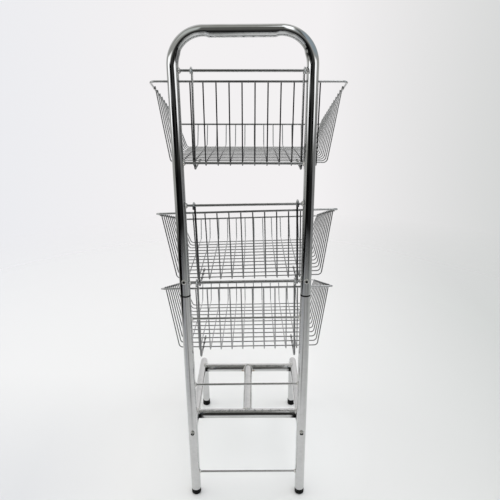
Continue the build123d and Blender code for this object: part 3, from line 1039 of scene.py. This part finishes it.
@dataclass
class Hardware:
    """The bolts, washers and nuts that join the sections and the base."""

    uprights: Uprights = Uprights()
    joint_height: float = 684.0
    base_height: float = 224.5
    base_reach: float = 43.45
    bolt_radius: float = 3.0
    head_flats: float = 10.0
    head_height: float = 4.0
    head_cone: float = 0.93  # its circle, as a share of the flats
    head_edge: float = 0.25
    # The recess in a head: radii as shares of the cone's circle, and depths
    recess: tuple[Ends, ...] = ((0.46, 0.0), (0.42, 0.2), (0.4, 2.4))
    nut_height: float = 5.0
    nut_cone: float = 0.95
    nut_edge: float = 0.4
    washer_radius: float = 6.0
    washer_bore: float = 3.3
    washer_thickness: float = 1.2
    washer_edge: float = 0.25
    gap: float = 0.1
    thread: float = 8.0
    thread_depth: float = 0.3
    thread_step: float = 0.2
    pitch: float = 1.0
    tip: float = 1.0  # past a nut
    point: float = 0.6  # the taper at a bolt's end
    # The least height, or share of a head's height, and the greatest share of the flats of a recess and a head's face,
    # where shade is painted
    recess_shade: Ends = (1.0, 0.23)
    face: Ends = (0.8, 0.5)
    # Where below a face's middle the painted shade begins and is full, how dark it is painted around a head, and from
    # which share on
    face_shade: Ends = (-4.5, -0.5)
    ring_shade: Ends = (0.8, 0.58)

    def washer_seat(self) -> float:
        """The distance of a washer's inner face from the middle of an upright."""
        return self.uprights.radius + self.gap

    def head_seat(self) -> float:
        """The distance of a bolt head's or nut's inner face from the middle of an upright."""
        return self.washer_seat() + self.washer_thickness + self.gap

    def hexagon(self, cone: float) -> tuple[Array, Array, Array]:
        """A hexagon whose corners are cut by a cone of 30 degrees.

        Its radius at each angle is half its flats over the cosine of the angle from a flat's middle, and it falls by
        what is outside the cone's circle times the tangent of 30 degrees.

        Args:
            cone: The cone's circle, as a share of the flats.

        Returns:
            The radii of the hexagon, those of the circle, and the fall.
        """
        half, sector = self.head_flats / 2.0, math.pi / 6.0
        beside = (around(TUBE_SIDES) + sector) % (math.pi / 3.0) - sector
        hexagon, circle = half / np.cos(beside), np.full(TUBE_SIDES, cone * half)
        return hexagon, circle, np.maximum(hexagon - circle, 0.0) * math.tan(sector)

    def head(self) -> Surface:
        """A hexagon bolt head, its corners cut by a cone and a round recess in its face.

        Returns:
            Its surface.
        """
        hexagon, circle, fall = self.hexagon(self.head_cone)
        bottom, edge = np.zeros(TUBE_SIDES), self.head_edge
        shares, depths = (np.array(column)[:, None] for column in zip(*self.recess))
        radii = np.stack([hexagon - edge, hexagon, hexagon, circle, *(shares * circle)])
        top = bottom + self.head_height
        heights = np.stack([bottom, bottom + edge, top - fall, top, *(top - depths)])
        return turned(radii, heights, TUBE_SIDES, (0.0, -self.head_seat(), 0.0), BACKWARD)

    def shank(self, reach: float) -> Surface:
        """A bolt's shank, its last stretch threaded.

        The thread's radius falls by a triangle wave of the height over the pitch less the share of the turn.

        Args:
            reach: The distance of its end in front of the upright's middle.

        Returns:
            Its surface.
        """
        seat = self.head_seat()
        length = seat + reach
        plain, step = length - self.thread, self.thread_step
        rows = np.concatenate([[0.0, plain], np.arange(plain + step / 2.0, length, step), [length]])[:, None]
        wave = np.abs(2.0 * ((rows / self.pitch - np.arange(ROD_SIDES) / ROD_SIDES) % 1.0) - 1.0)
        threaded = np.where(rows > plain, self.thread_depth * wave, 0.0)
        radii = self.bolt_radius - threaded - np.maximum(rows - (length - self.point), 0.0)
        return turned(radii, rows, ROD_SIDES, (0.0, -seat, 0.0), FORWARD)

    def washer(self, turn: Array) -> Surface:
        """A washer with rounded edges, on the back or the front of an upright.

        Args:
            turn: The washer's own axes.

        Returns:
            Its surface.
        """
        bore, rim, thick, edge = self.washer_bore, self.washer_radius, self.washer_thickness, self.washer_edge
        radii = [bore, rim - edge, rim, rim, rim - edge, bore]
        heights = [0.0, 0.0, edge, thick - edge, thick, thick]
        return turned(radii, heights, TUBE_SIDES, self.washer_seat() * turn[2], turn, True)

    def nut(self) -> Surface:
        """A hexagon nut, both faces cut by a cone.

        Returns:
            Its surface.
        """
        hexagon, circle, fall = self.hexagon(self.nut_cone)
        bottom, edge = np.zeros(TUBE_SIDES), self.nut_edge
        bore, top = bottom + self.bolt_radius + self.gap, bottom + self.nut_height
        radii = np.stack([bore, bore + edge, circle, hexagon, hexagon, circle, bore + edge, bore])
        heights = np.stack([bottom + edge, bottom, bottom, fall, top - fall, top, top, top - edge])
        return turned(radii, heights, TUBE_SIDES, (0.0, self.head_seat(), 0.0), FORWARD, True)

    def shade_share(self, points: Array) -> Array:
        """Painted shade in the recesses of the joint bolts' heads, and around and low on the base bolts' heads.

        Args:
            points: The corners of bolts, nuts or washers.

        Returns:
            The painted shade at each corner.
        """
        x, y, z = points.T
        flats, out = self.head_flats, -y - self.head_seat()
        height = np.where(z > (self.joint_height + self.base_height) / 2.0, self.joint_height, self.base_height)
        off = np.hypot(np.abs(x) - self.uprights.x, z - height)
        recess = (out > self.recess_shade[0]) & (off < self.recess_shade[1] * flats)
        face = (out > self.face[0] * self.head_height) & (off < self.face[1] * flats)
        share, least = self.ring_shade
        beside = np.where(face, fade(height - z, *self.face_shade), share * (off > least * flats))
        return np.where(height == self.base_height, beside, recess)

    def build(self) -> None:
        """Builds and dresses the hardware."""
        head, back, front = self.head(), self.washer(BACKWARD), self.washer(FORWARD)
        joint, base = self.joint_height, self.base_height
        joint_reach = self.head_seat() + self.nut_height + self.tip
        sets = (("joint_bolt", joint, (head, self.shank(joint_reach))),
                ("base_bolt", base, (head, self.shank(self.base_reach))),
                ("joint_rear_washer", joint, (back,)), ("joint_front_washer", joint, (front,)),
                ("base_washer", base, (back,)), ("joint_nut", joint, (self.nut(),)))
        for name, height, shapes in sets:
            surface = joined([moved(shape, (side.value * self.uprights.x, 0.0, height))
                              for side in Side for shape in shapes])
            make_piece(name + "_set", surface, ZINC_HARDWARE, "zinc_hardware", [name + "s"],
                       tarnish=self.shade_share(surface.points))
        plugs = frame["nodes"]["base_plugs"].data.materials
        plugs.clear()
        plugs.append(ZINC_HARDWARE.material())


@dataclass(frozen=True)
class PaintedShade:
    """How dark a basket's wires are painted, from nought to one: painted shade and dark reflections, most at the back.

    A span is where that changes, in millimetres.
    """

    wall: Ends = (1.0, 0.85)  # the long wires at the top and the foot of the back wall
    wall_span: Ends = (-20.0, 20.0)  # from the rim and from the floor
    floor: float = 0.3  # the long wires on the floor
    clears: Ends = (0.0, 70.0)  # where along the floor the foot's darkness clears
    cross: float = 0.0  # the cross wires on the floor
    side: float = 0.0  # the cross wires in the side walls
    side_span: Ends = (0.0, 6.0)  # from the edge of the floor
    rear: float = 0.6  # the rearmost cross wire in the side walls, on top of that
    rim_fade: float = 0.9  # how much of the side walls' darkness is lost at the rim
    rim_fade_span: Ends = (-12.0, -2.0)  # from the rim's height
    hook: Ends = (0.9, 0.6)  # the hooks at the rim and at their feet
    hook_span: Ends = (-60.0, 20.0)  # from the rim and from the runner
    bow: float = 0.0  # the hooks above the rim
    bow_span: Ends = (-6.0, 6.0)  # from the rim's height
    crown_span: Ends = (0.0, 6.0)  # where the crown over the rod is left without painted shade
    runner: float = 0.8  # how much of a hook's darkness is lost under the floor
    runner_span: Ends = (2.0, 12.0)  # in front of the hook's stem
    rim: float = 0.62  # the rim's rear bar
    rim_left: Ends = (-214.0, -195.0)  # where across the basket its darkness begins
    rim_right: Ends = (60.0, 140.0)  # where it clears
    front: Ends = (0.5, 0.05)  # the rim's front bar on the left and the right
    front_span: Ends = (20.0, 90.0)  # where across the basket it changes
    bar_span: Ends = (3.0, 12.0)  # from a bar's axis
    spots: Ends = (0.55, 0.2)  # the spot welds of the floor and the rim
    spots_span: Ends = (5.0, 25.0)  # from the floor


@dataclass
class Basket:
    """A wire basket, in its own frame with the hang rod as the X axis and the floor level until it is placed."""

    tier: Tier  # which of the three baskets it is
    pull: float  # how far it is pulled to the front over its rod
    drop: float  # the distance down to the rod that its hooks lean on
    dark: PaintedShade = PaintedShade()  # how dark its wires are painted with shade
    cant: float = 0.0  # how much higher than its rod it hangs on the right, in degrees, its right hook off the rod
    sag: float = 0.0  # how far its hooks' feet hang low
    sag_wires: float = 2.7  # how many times that its long wires do, at the foot of the back wall
    sag_run: float = 24.0  # how far along the floor they do
    mesh_radius: float = 1.5
    mesh_edge: float = 0.2
    rim_radius: float = 2.5
    hook_radius: float = 2.5
    hook_edge: float = 0.5
    hook_corner: float = 2.887
    hook_bow: float = 12.75
    hook_crown: float = 5.906
    hook_end: float = 0.5
    hook_x: float = 122.013
    hook_out: float = 2.4
    hook_foot: float = 8.0
    hook_steps: int = 12
    runner_height: float = -211.573
    runner_end: float = 142.587
    cross_height: float = -207.523
    long_height: float = -204.473
    rim_back: Ends = (18.187, -22.287)
    rim_front: Ends = (441.887, -144.523)
    rim_half: float = 219.5
    rim_corner: float = 11.0
    rim_steps: int = 10
    # The half length, width and height of the swelling where the rim's ends were welded
    butt: Point = (4.0, 1.1, 0.4)
    butt_steps: int = 17
    floor_back: float = 35.587
    pitch: float = 29.0
    count: int = 12
    bend: float = 10.0
    bend_steps: int = 6
    bury: float = 1.2  # how far the long wires stop short of the rim's axis
    overrun: float = 3.6  # how far the cross wires run past it
    # The half sizes of a spot weld where wires cross; the others are at a wire's end and a hook
    crossing_spot: Point = (1.7, 1.7, 1.2)
    end_spot: Point = (1.9, 1.9, 1.7)
    hook_spot: Point = (1.9, 1.9, 2.0)
    hook_spot_rise: float = 0.4

    def floor_size(self) -> float:
        """The length and width of the floor."""
        return (self.count + 1) * self.pitch

    def across(self) -> Array:
        """The places of the long wires across the basket."""
        return (1.0 + np.arange(self.count)) * self.pitch - self.floor_size() / 2.0

    def along(self) -> Array:
        """The places of the cross wires along the basket."""
        return self.floor_back + (1.0 + np.arange(self.count)) * self.pitch

    def rim_height(self, y: Any) -> Any:
        """The height of the rim's axis along the side walls."""
        (back, top), (front, low) = self.rim_back, self.rim_front
        return top - (y - back) * (top - low) / (front - back)

    def place(self, surface: Surface) -> Surface:
        """Hangs a surface: canted, moved over the rod, tilted to lean on the rod below, and turned along the rod.

        Args:
            surface: A surface in the basket's own frame.

        Returns:
            The surface from the stand's own origin.
        """
        joint = next(j for j in frame["joints"] if j["child"] == self.tier.value + "_basket")
        hang = np.array(joint["pos_m"]) / METRES - stand_origin()
        slack = self.hook_bow - self.hook_crown
        rise = slack - math.sqrt(slack**2 - self.pull**2)
        tilt = math.asin((self.pull + slack) / self.drop)
        cant, lean = math.radians(self.cant), math.atan2(joint["axis"][2], joint["axis"][0])
        rise += (self.hook_x + self.hook_corner) * math.sin(cant)
        canted = surface.points @ turned_about(Y_AXIS, -cant).T + (0.0, self.pull, rise)
        hung = canted @ turned_about(X_AXIS, -tilt).T @ turned_about(Y_AXIS, -lean).T + hang
        return Surface(hung, surface.straight, surface.faces)

    def rim(self) -> Surface:
        """The rim, a closed loop that slopes down to the front, with a swelling where its ends were butt welded.

        Returns:
            Its surface.
        """
        back, front, half = self.rim_back, self.rim_front, self.rim_half
        corners = [(half, *back), (half, *front), (-half, *front), (-half, *back)]
        path = rounded_path(corners, [self.rim_corner] * len(corners), self.rim_steps, closed=True)
        reach, width, swell = self.butt
        seam = np.linspace(-reach, reach, self.butt_steps)
        path = np.concatenate([path, [(x, *back) for x in seam]])
        radii = np.full(len(path), self.rim_radius)
        radii[-len(seam):] += swell * bell(seam, 0.0, width)
        slope = self.rim_height(0.0) - self.rim_height(1.0)
        rings, straight = rings_along(path, radii, RIM_SIDES, (0.0, slope, 1.0), closed=True)
        return ring_surface(rings, straight, True)

    def wire(self, start: Point, corners: Sequence[Point], end: Point, across: Point, bury: float) -> Surface:
        """A mesh wire from rim to rim, its ends buried a little in the rim or running on past it.

        Args:
            start: The rim's axis at one end.
            corners: The corners of the wire.
            end: The rim's axis at the other end.
            across: The direction across the wire's plane.
            bury: How far it stops short of the rim's axis, or runs past it if negative.

        Returns:
            Its surface.
        """
        start, end = (rim + unit(np.subtract(corner, rim)) * bury for rim, corner in ((start, corners[0]),
                                                                                      (end, corners[-1])))
        path = rounded_path([start, *corners, end], [self.bend] * len(corners), self.bend_steps)
        return solid_bar(path, self.mesh_radius, WIRE_SIDES, across, edge=self.mesh_edge)

    def long_wires(self) -> Surface:
        """The wires down the back wall, along the floor and up the front wall.

        Returns:
            Their surface.
        """
        low, near, far = self.long_height, self.floor_back, self.floor_back + self.floor_size()
        dip = [(near, low - self.sag_wires * self.sag), (near + self.sag_run, low)] if self.sag else [(near, low)]
        return joined([self.wire((x, *self.rim_back), [(x, *corner) for corner in (*dip, (far, low))],
                                 (x, *self.rim_front), X_AXIS, self.bury) for x in self.across()])

    def cross_wires(self) -> Surface:
        """The wires down one side wall, across the floor and up the other, their ends inside the rim and over it.

        Returns:
            Their surface.
        """
        half, low = self.floor_size() / 2.0, self.cross_height
        rim = self.rim_half - self.rim_radius - self.mesh_radius + self.bury / 2.0
        return joined([self.wire((-rim, y, self.rim_height(y)), [(-half, y, low), (half, y, low)],
                                 (rim, y, self.rim_height(y)), Y_AXIS, -self.overrun) for y in self.along()])

    def hook(self, side: Side) -> Surface:
        """A hook over the hang rod, down behind the back wall and forward under the floor.

        Args:
            side: The side of the basket.

        Returns:
            Its surface.
        """
        x = side.value * self.hook_x - self.hook_out * (side is Side.LEFT)
        bow, crown, low = self.hook_bow, self.hook_crown, self.runner_height
        corners = [(-bow, crown - bow - self.hook_end), (-bow, crown), (bow, crown), (bow, low - self.sag),
                   (self.runner_end, low)]
        path = rounded_path([(x, *corner) for corner in corners], (bow, bow, self.hook_foot), self.hook_steps)
        return solid_bar(path, self.hook_radius, RIM_SIDES, X_AXIS, edge=self.hook_edge)

    def welds(self) -> Surface:
        """The spot welds: at each crossing of the floor, each wire end at the rim, and along the hooks.

        Returns:
            Their surface.
        """
        across, along, size = self.across(), self.along(), self.floor_size()
        level = (self.cross_height + self.long_height) / 2.0
        crossings = np.array([(x, y, level) for y in along for x in across])
        rims, feet, hooks = [], [], []
        for rim, foot in ((self.rim_back, self.floor_back), (self.rim_front, self.floor_back + size)):
            rims += [(x, *rim) for x in across]
            feet += [(x, foot, self.long_height) for x in across]
        for side in Side:
            rims += [(side.value * self.rim_half, y, self.rim_height(y)) for y in along]
            feet += [(side.value * size / 2.0, y, self.cross_height) for y in along]
            x = side.value * self.hook_x
            hooks.append((x, (self.hook_bow + self.rim_back[0]) / 2.0, self.rim_back[1]))
            level = (self.runner_height + self.cross_height) / 2.0 + self.hook_spot_rise
            hooks += [(x, y, level) for y in along if y < self.runner_end]
        ends = np.array(rims) + unit(np.subtract(feet, rims)) * self.rim_radius
        return joined([weld_spots(crossings, self.crossing_spot), weld_spots(ends, self.end_spot),
                       weld_spots(np.array(hooks), self.hook_spot)])

    def tarnish(self, part: str, points: Array) -> Array:
        """How dark a part is painted with shade and dark reflections: most at the back of the basket.

        Args:
            part: The part's name.
            points: Its corners in the basket's own frame.

        Returns:
            The painted shade at each corner.
        """
        x, y, z = points.T
        dark, (back, top), floor = self.dark, self.rim_back, self.long_height
        if part == "spot_welds":
            return between(*dark.spots, fade(z - floor, *dark.spots_span))
        if part == "long_wires":
            high, low = dark.wall_span
            wall = between(dark.wall[1], dark.wall[0], fade(z, floor + low, top + high))
            wall += (dark.floor - dark.wall[1]) * fade(y - self.floor_back, *dark.clears)
            return wall.clip(0.0, 1.0)
        if part == "rim":
            rear = dark.rim * fade(x, *dark.rim_left) * (1.0 - fade(x, *dark.rim_right))
            front = between(*dark.front, fade(x, *dark.front_span))
            near_back, near_front = (1.0 - fade(off, *dark.bar_span) for off in (y - back, self.rim_front[0] - y))
            return rear * near_back + front * near_front
        if part == "cross_wires":
            wall = fade(np.abs(x) - self.floor_size() / 2.0, *dark.side_span)
            wall *= 1.0 - dark.rim_fade * fade(z - self.rim_height(y), *dark.rim_fade_span)
            rear = dark.rear * (y < self.along()[:2].mean())
            return (dark.cross + (dark.side - dark.cross + rear) * wall).clip(0.0, 1.0)
        high, low = dark.hook_span
        stem = between(dark.hook[1], dark.hook[0], fade(z, self.runner_height + low, top + high))
        stem += (dark.bow - dark.hook[0]) * fade(z - top, *dark.bow_span)
        runner = 1.0 - dark.runner * fade(y - self.hook_bow, *dark.runner_span)
        return stem * runner * (1.0 - fade(z, *dark.crown_span))

    def build(self) -> None:
        """Builds, hangs and dresses the basket."""
        name, body, wire = self.tier.value, self.tier.value + "_basket", CHROMED_WIRE
        parts = {"rim": self.rim(), "long_wires": self.long_wires(), "cross_wires": self.cross_wires(),
                 "left_hook": self.hook(Side.LEFT), "right_hook": self.hook(Side.RIGHT), "spot_welds": self.welds()}
        for part, surface in parts.items():
            welds = part == "spot_welds"
            make_piece(f"{body}_{part}", self.place(surface), WELD_METAL if welds else wire, "chromed_wire",
                       [] if welds else [f"{name}_{part}"], body, tarnish=self.tarnish(part, surface.points))


# Studio

@dataclass(frozen=True)
class Panel:
    """A flat soft-edged panel of the room, far away, which the metal reflects."""

    azimuth: float  # its direction from behind the stand, positive to the right, in degrees
    elevation: float  # its height above the horizon
    width: float  # its half width
    height: float  # its half height
    soft: float  # how far its edge fades, in the tangent of the angle
    colour: str  # its colour
    strength: float = 1.0  # its brightness, where 1 is white
    roll: float = 0.0  # how far it is turned about the direction to it

    def over(self, tree: Tree, ray: Socket, room: Any) -> Socket:
        """Lays the panel over the room.

        A ray meets the panel's plane at its share along the width and height over its share ahead, and the panel
        shows where both are smaller than the half sizes.

        Args:
            tree: The world's node tree.
            ray: The direction of the ray.
            room: The colour of the room so far.

        Returns:
            The colour with the panel.
        """
        axes = sight(180.0 - self.azimuth, self.elevation, self.roll)
        wide, high, ahead = (add(tree, "VectorMath", {0: ray, 1: tuple(axis)}, "Value", operation="DOT_PRODUCT")
                             for axis in axes)
        mask = add(tree, "Math", {0: ahead, 1: 0.0}, operation="GREATER_THAN")
        for share, half in ((wide, self.width), (high, self.height)):
            reach = add(tree, "Math", {0: share, 1: ahead}, operation="DIVIDE")
            reach = add(tree, "Math", {0: reach}, operation="ABSOLUTE")
            edge = math.tan(math.radians(half))
            inside = add(tree, "MapRange", {"Value": reach, "From Min": edge - self.soft, "From Max": edge + self.soft,
                                            "To Min": 1.0, "To Max": 0.0}, interpolation_type="SMOOTHSTEP")
            mask = add(tree, "Math", {0: mask, 1: inside}, operation="MULTIPLY")
        colour = [value * self.strength for value in linear(self.colour)[:3]] + [1.0]
        return add(tree, "Mix", {0: mask, 6: room, 7: colour}, 2, data_type="RGBA")


@dataclass
class Studio:
    """The pale floor, the white surround and the soft light of the room, in metres.

    The pairs of sizes on the floor are where a change begins and is full, by the distance from the stand, or across
    or along the floor. Only the metal sees the floor end on the left, and a painted shadow streak on it. The floor is
    painted lighter near the stand, and painted with shade to the right and in its near left corner.
    """

    backdrop: str = "#f3f1f2"
    left_wall: str = "#ebecf0"
    shade: str = "#d0d2d1"
    # The sideways part of a ray where the surround reaches its ends, and the shares of that span where it is plain
    span: float = 0.5
    plain: Ends = (0.35, 0.63)
    room: str = "#b6b6b2"
    floor: str = "#f5f4f4"
    floor_radii: Ends = (0.02, 0.3)
    floor_rings: int = 10
    floor_sides: int = 64
    floor_margin: float = 0.1
    shaded: Ends = (0.25, 1.2)
    edge: Ends = (0.35, 2.9)
    left_end: Ends = (-1.05, -1.3)
    # A painted pool of light on the floor near the stand, against its shadow there
    near_colour: str = "#fdfdfd"
    near: Ends = (0.4, 0.1)
    # Painted shade on the floor in its near left corner
    corner_colour: str = "#dddee2"
    corner_left: Ends = (-0.36, -0.68)
    corner_back: Ends = (0.4, -0.6)
    # A painted shadow streak on the floor, which only the metal sees
    streak_colour: str = "#7d7d7d"
    streak_middle: float = 0.2
    streak: Ends = (0.22, 0.06)
    streak_back: Ends = (-0.45, -0.75)
    streak_share: float = 0.6
    # The paper's grain, in millimetres, is really finer and is drawn coarser to show
    grain: float = 10.0 / 3.0
    grain_depth: float = 0.05
    lamp_place: Point = (0.0, 0.0, 3.0)
    lamp_size: float = 6.0
    lamp_power: float = 35.0
    fill_place: Point = (4.0, 0.3, 1.8)
    fill_aim: Point = (0.0, 0.2, 0.0)
    fill_size: float = 2.6
    fill_power: float = 40.0
    panels: tuple[Panel, ...] = (
        Panel(80.0, 36.0, 42.0, 22.0, 0.15, "#a9b6be"),
        Panel(-33.0, 50.0, 25.0, 17.0, 0.12, "#dbe0dc"),
        Panel(180.0, 20.0, 33.0, 60.0, 0.1, "#f6f5f5"),
        Panel(-145.0, 20.0, 26.0, 32.0, 0.2, "#e8e8e8"),
        Panel(0.0, 90.0, 22.0, 22.0, 0.15, "#a8a8a2"),
        Panel(44.0, 45.0, 4.5, 24.0, 0.05, "#6f6f6b", roll=38.0),
        Panel(24.5, 61.0, 9.0, 25.0, 0.05, "#fbfdff", 2.1, 28.7),
        Panel(2.0, 12.0, 21.0, 13.0, 0.12, "#7a7a78"),
        Panel(-1.0, 34.0, 8.5, 27.0, 0.05, "#6c6c68"),
        Panel(95.0, -14.0, 40.0, 11.0, 0.08, "#8e8e8e"),
        Panel(0.0, -34.0, 56.0, 20.0, 0.12, "#121212"),
        Panel(-60.0, 3.5, 25.0, 10.5, 0.05, WHITE, 1.8),
        Panel(50.0, 0.5, 16.0, 7.0, 0.05, WHITE, 1.7),
        Panel(-78.0, -23.5, 30.0, 6.5, 0.06, "#060606"),
        Panel(20.0, -15.5, 28.0, 6.5, 0.05, "#242424"),
        Panel(-35.0, -15.5, 28.0, 6.5, 0.05, "#101010"),
        Panel(-10.0, -7.0, 50.0, 5.0, 0.05, "#0f0f0f"),
        Panel(-10.0, 0.0, 40.0, 3.5, 0.05, "#131313"),
        Panel(-1.0, 2.0, 11.0, 11.0, 0.07, "#414140"),
    )

    def light_room(self) -> None:
        """Lights the room: the camera sees the white surround, and the metal sees the panels."""
        world = bpy.data.worlds.new("studio")
        bpy.context.scene.world = world
        world.use_nodes = True
        tree = world.node_tree
        tree.nodes.clear()
        ray = add(tree, "TexCoord", out="Generated")
        room: Any = linear(self.room)
        for panel in self.panels:
            room = panel.over(tree, ray, room)
        across = add(tree, "SeparateXYZ", {0: ray})
        away = add(tree, "MapRange", {"Value": across, "From Min": -self.span, "From Max": self.span})
        places = ((0.0, self.left_wall), (1.0, self.shade), *((place, self.backdrop) for place in self.plain))
        wall = add(tree, "ValToRGB", {0: away}, stops=[(place, linear(code)) for place, code in places])
        lit, seen = (add(tree, "Background", {"Color": colour, "Strength": 1.0}) for colour in (room, wall))
        both = add(tree, "MixShader", {0: add(tree, "LightPath", out="Is Camera Ray"), 1: lit, 2: seen})
        add(tree, "OutputWorld", {"Surface": both})

    def hang_lamp(self, name: str, power: float, size: float, place: Point, aim: Point = (0.0, 0.0, 0.0)) -> None:
        """Hangs a round soft lamp that lights the floor and the rubber, and that the metal doesn't show.

        Args:
            name: The lamp's name.
            power: Its power in watts.
            size: Its width in metres.
            place: Where it hangs, in metres.
            aim: Where it points.
        """
        lamp = bpy.data.lights.new(name, "AREA")
        lamp.shape, lamp.size, lamp.energy = "DISK", size, power
        hung = bpy.data.objects.new(name, lamp)
        hung.location = place
        hung.rotation_euler = (Vector(aim) - Vector(place)).to_track_quat("-Z", "Y").to_euler()
        hung.visible_camera = False
        hung.visible_glossy = False
        bpy.context.scene.collection.objects.link(hung)

    def paper(self) -> Material:
        """The floor's pale paper, which fades into the surround with the distance from the stand.

        Returns:
            The material.
        """
        tree, made = new_material("pale_paper")
        place, seen = add(tree, "TexCoord", out="Object"), add(tree, "LightPath", out="Is Camera Ray")
        far = add(tree, "VectorMath", {0: place}, "Value", operation="LENGTH")
        across, along = (add(tree, "SeparateXYZ", {0: place}, axis) for axis in "XY")
        off = add(tree, "Math", {0: across, 1: self.streak_middle}, operation="ADD")
        off = add(tree, "Math", {0: off}, operation="ABSOLUTE")
        spans = ((far, self.edge), (across, self.left_end), (across, self.shaded), (far, self.near),
                 (across, self.corner_left), (along, self.corner_back), (off, self.streak), (along, self.streak_back))
        edge, end, right, near, left, back, streak, behind = (
            add(tree, "MapRange", {"Value": value, "From Min": first, "From Max": last})
            for value, (first, last) in spans)
        corner = add(tree, "Math", {0: left, 1: back}, operation="MULTIPLY")
        for share in (self.streak_share, behind):
            streak = add(tree, "Math", {0: streak, 1: share}, operation="MULTIPLY")
        end, streak = (add(tree, "Mix", {0: seen, 2: mask, 3: 0.0}) for mask in (end, streak))
        # Painted shade to the right and in the near left corner, painted light near the stand, and a painted shadow
        # streak
        colour: Any = linear(self.floor)
        for mask, code in ((right, self.shade), (near, self.near_colour), (corner, self.corner_colour),
                           (streak, self.streak_colour)):
            colour = add(tree, "Mix", {0: mask, 6: colour, 7: linear(code)}, 2, data_type="RGBA")
        grain = add(tree, "TexNoise", {"Vector": place, "Scale": 1 / (self.grain * METRES)})
        normal = add(tree, "Bump", {"Height": grain, "Distance": self.grain_depth * METRES})
        sheet = add(tree, "BsdfDiffuse", {"Color": colour, "Normal": normal})
        gone = add(tree, "Math", {0: edge, 1: end}, operation="MAXIMUM")
        both = add(tree, "MixShader", {0: gone, 1: sheet, 2: add(tree, "BsdfTransparent")})
        add(tree, "OutputMaterial", {"Surface": both})
        return made

    def lay_floor(self) -> None:
        """Lays a round sheet of paper, its rings from the rim to the middle and its last one filled."""
        least, inner = self.floor_radii
        radii = np.linspace(self.edge[1] + self.floor_margin, inner, self.floor_rings)
        radii = np.array([*radii, least]) / METRES
        rings = turned(radii, 0.0 * radii, self.floor_sides)
        mesh = bpy.data.meshes.new("floor")
        mesh.from_pydata((rings.points * METRES).tolist(), [], rings.faces[:-2] + rings.faces[-1:])
        mesh.materials.append(self.paper())
        floor = bpy.data.objects.new("floor", mesh)
        bpy.context.scene.collection.objects.link(floor)

    def build(self) -> None:
        """Builds the studio."""
        self.light_room()
        self.hang_lamp("overhead_softbox", self.lamp_power, self.lamp_size, self.lamp_place)
        for side in Side:
            place = (side.value * self.fill_place[0], *self.fill_place[1:])
            self.hang_lamp(side.name.lower() + "_softbox", self.fill_power, self.fill_size, place, self.fill_aim)
        self.lay_floor()


@dataclass
class PhotoCamera:
    """The camera at the photograph's place, from the stand's own origin in millimetres and degrees."""

    place: Point = (21.64, -1152.76, 1180.98)
    yaw: float = -0.453
    pitch: float = 19.941
    roll: float = -0.481
    lens: float = 36.0
    sensor: float = 36.0

    def build(self) -> None:
        """Sets up the camera: its right, up and back directions are the columns of its turn."""
        right, up, ahead = sight(self.yaw, -self.pitch, self.roll)
        data = bpy.data.cameras.new("camera")
        data.lens, data.sensor_width = self.lens, self.sensor
        camera = bpy.data.objects.new("camera", data)
        bpy.context.scene.collection.objects.link(camera)
        turn = np.eye(4)
        turn[:3] = np.stack([right, up, -ahead, (self.place + stand_origin()) * METRES], -1)
        camera.matrix_world = Matrix(turn.tolist())
        bpy.context.scene.camera = camera


def main() -> None:
    """Builds the stand, its baskets, the studio and the camera."""
    logging.basicConfig(level=logging.INFO, format="%(name)s: %(message)s")
    for section in (UpperSection, LowerSection, Base, Hardware):
        section().build()
    # How much shade is painted on the middle and the lower basket's wires
    worn = PaintedShade(wall=(0.7, 0.5), floor=0.15, clears=(0.0, 25.0), cross=0.3, side=0.95, rear=0.0,
                   hook=(1.0, 0.55), bow=0.9)
    bright = PaintedShade(wall=(0.5, 0.25), floor=0.05, clears=(0.0, 20.0), cross=0.38, side=0.7, rear=0.2,
                     hook=(1.0, 0.5))
    Basket(Tier.TOP, pull=-0.5, drop=201.359, sag=4.5).build()
    Basket(Tier.MIDDLE, pull=0.5, drop=199.758, dark=worn, cant=0.65).build()
    Basket(Tier.LOWER, pull=2.2, drop=100.891, dark=bright).build()
    Studio().build()
    PhotoCamera().build()
    bpy.context.scene.view_settings.view_transform = "Standard"
    bpy.context.view_layer.update()


if __name__ == "__main__":
    main()
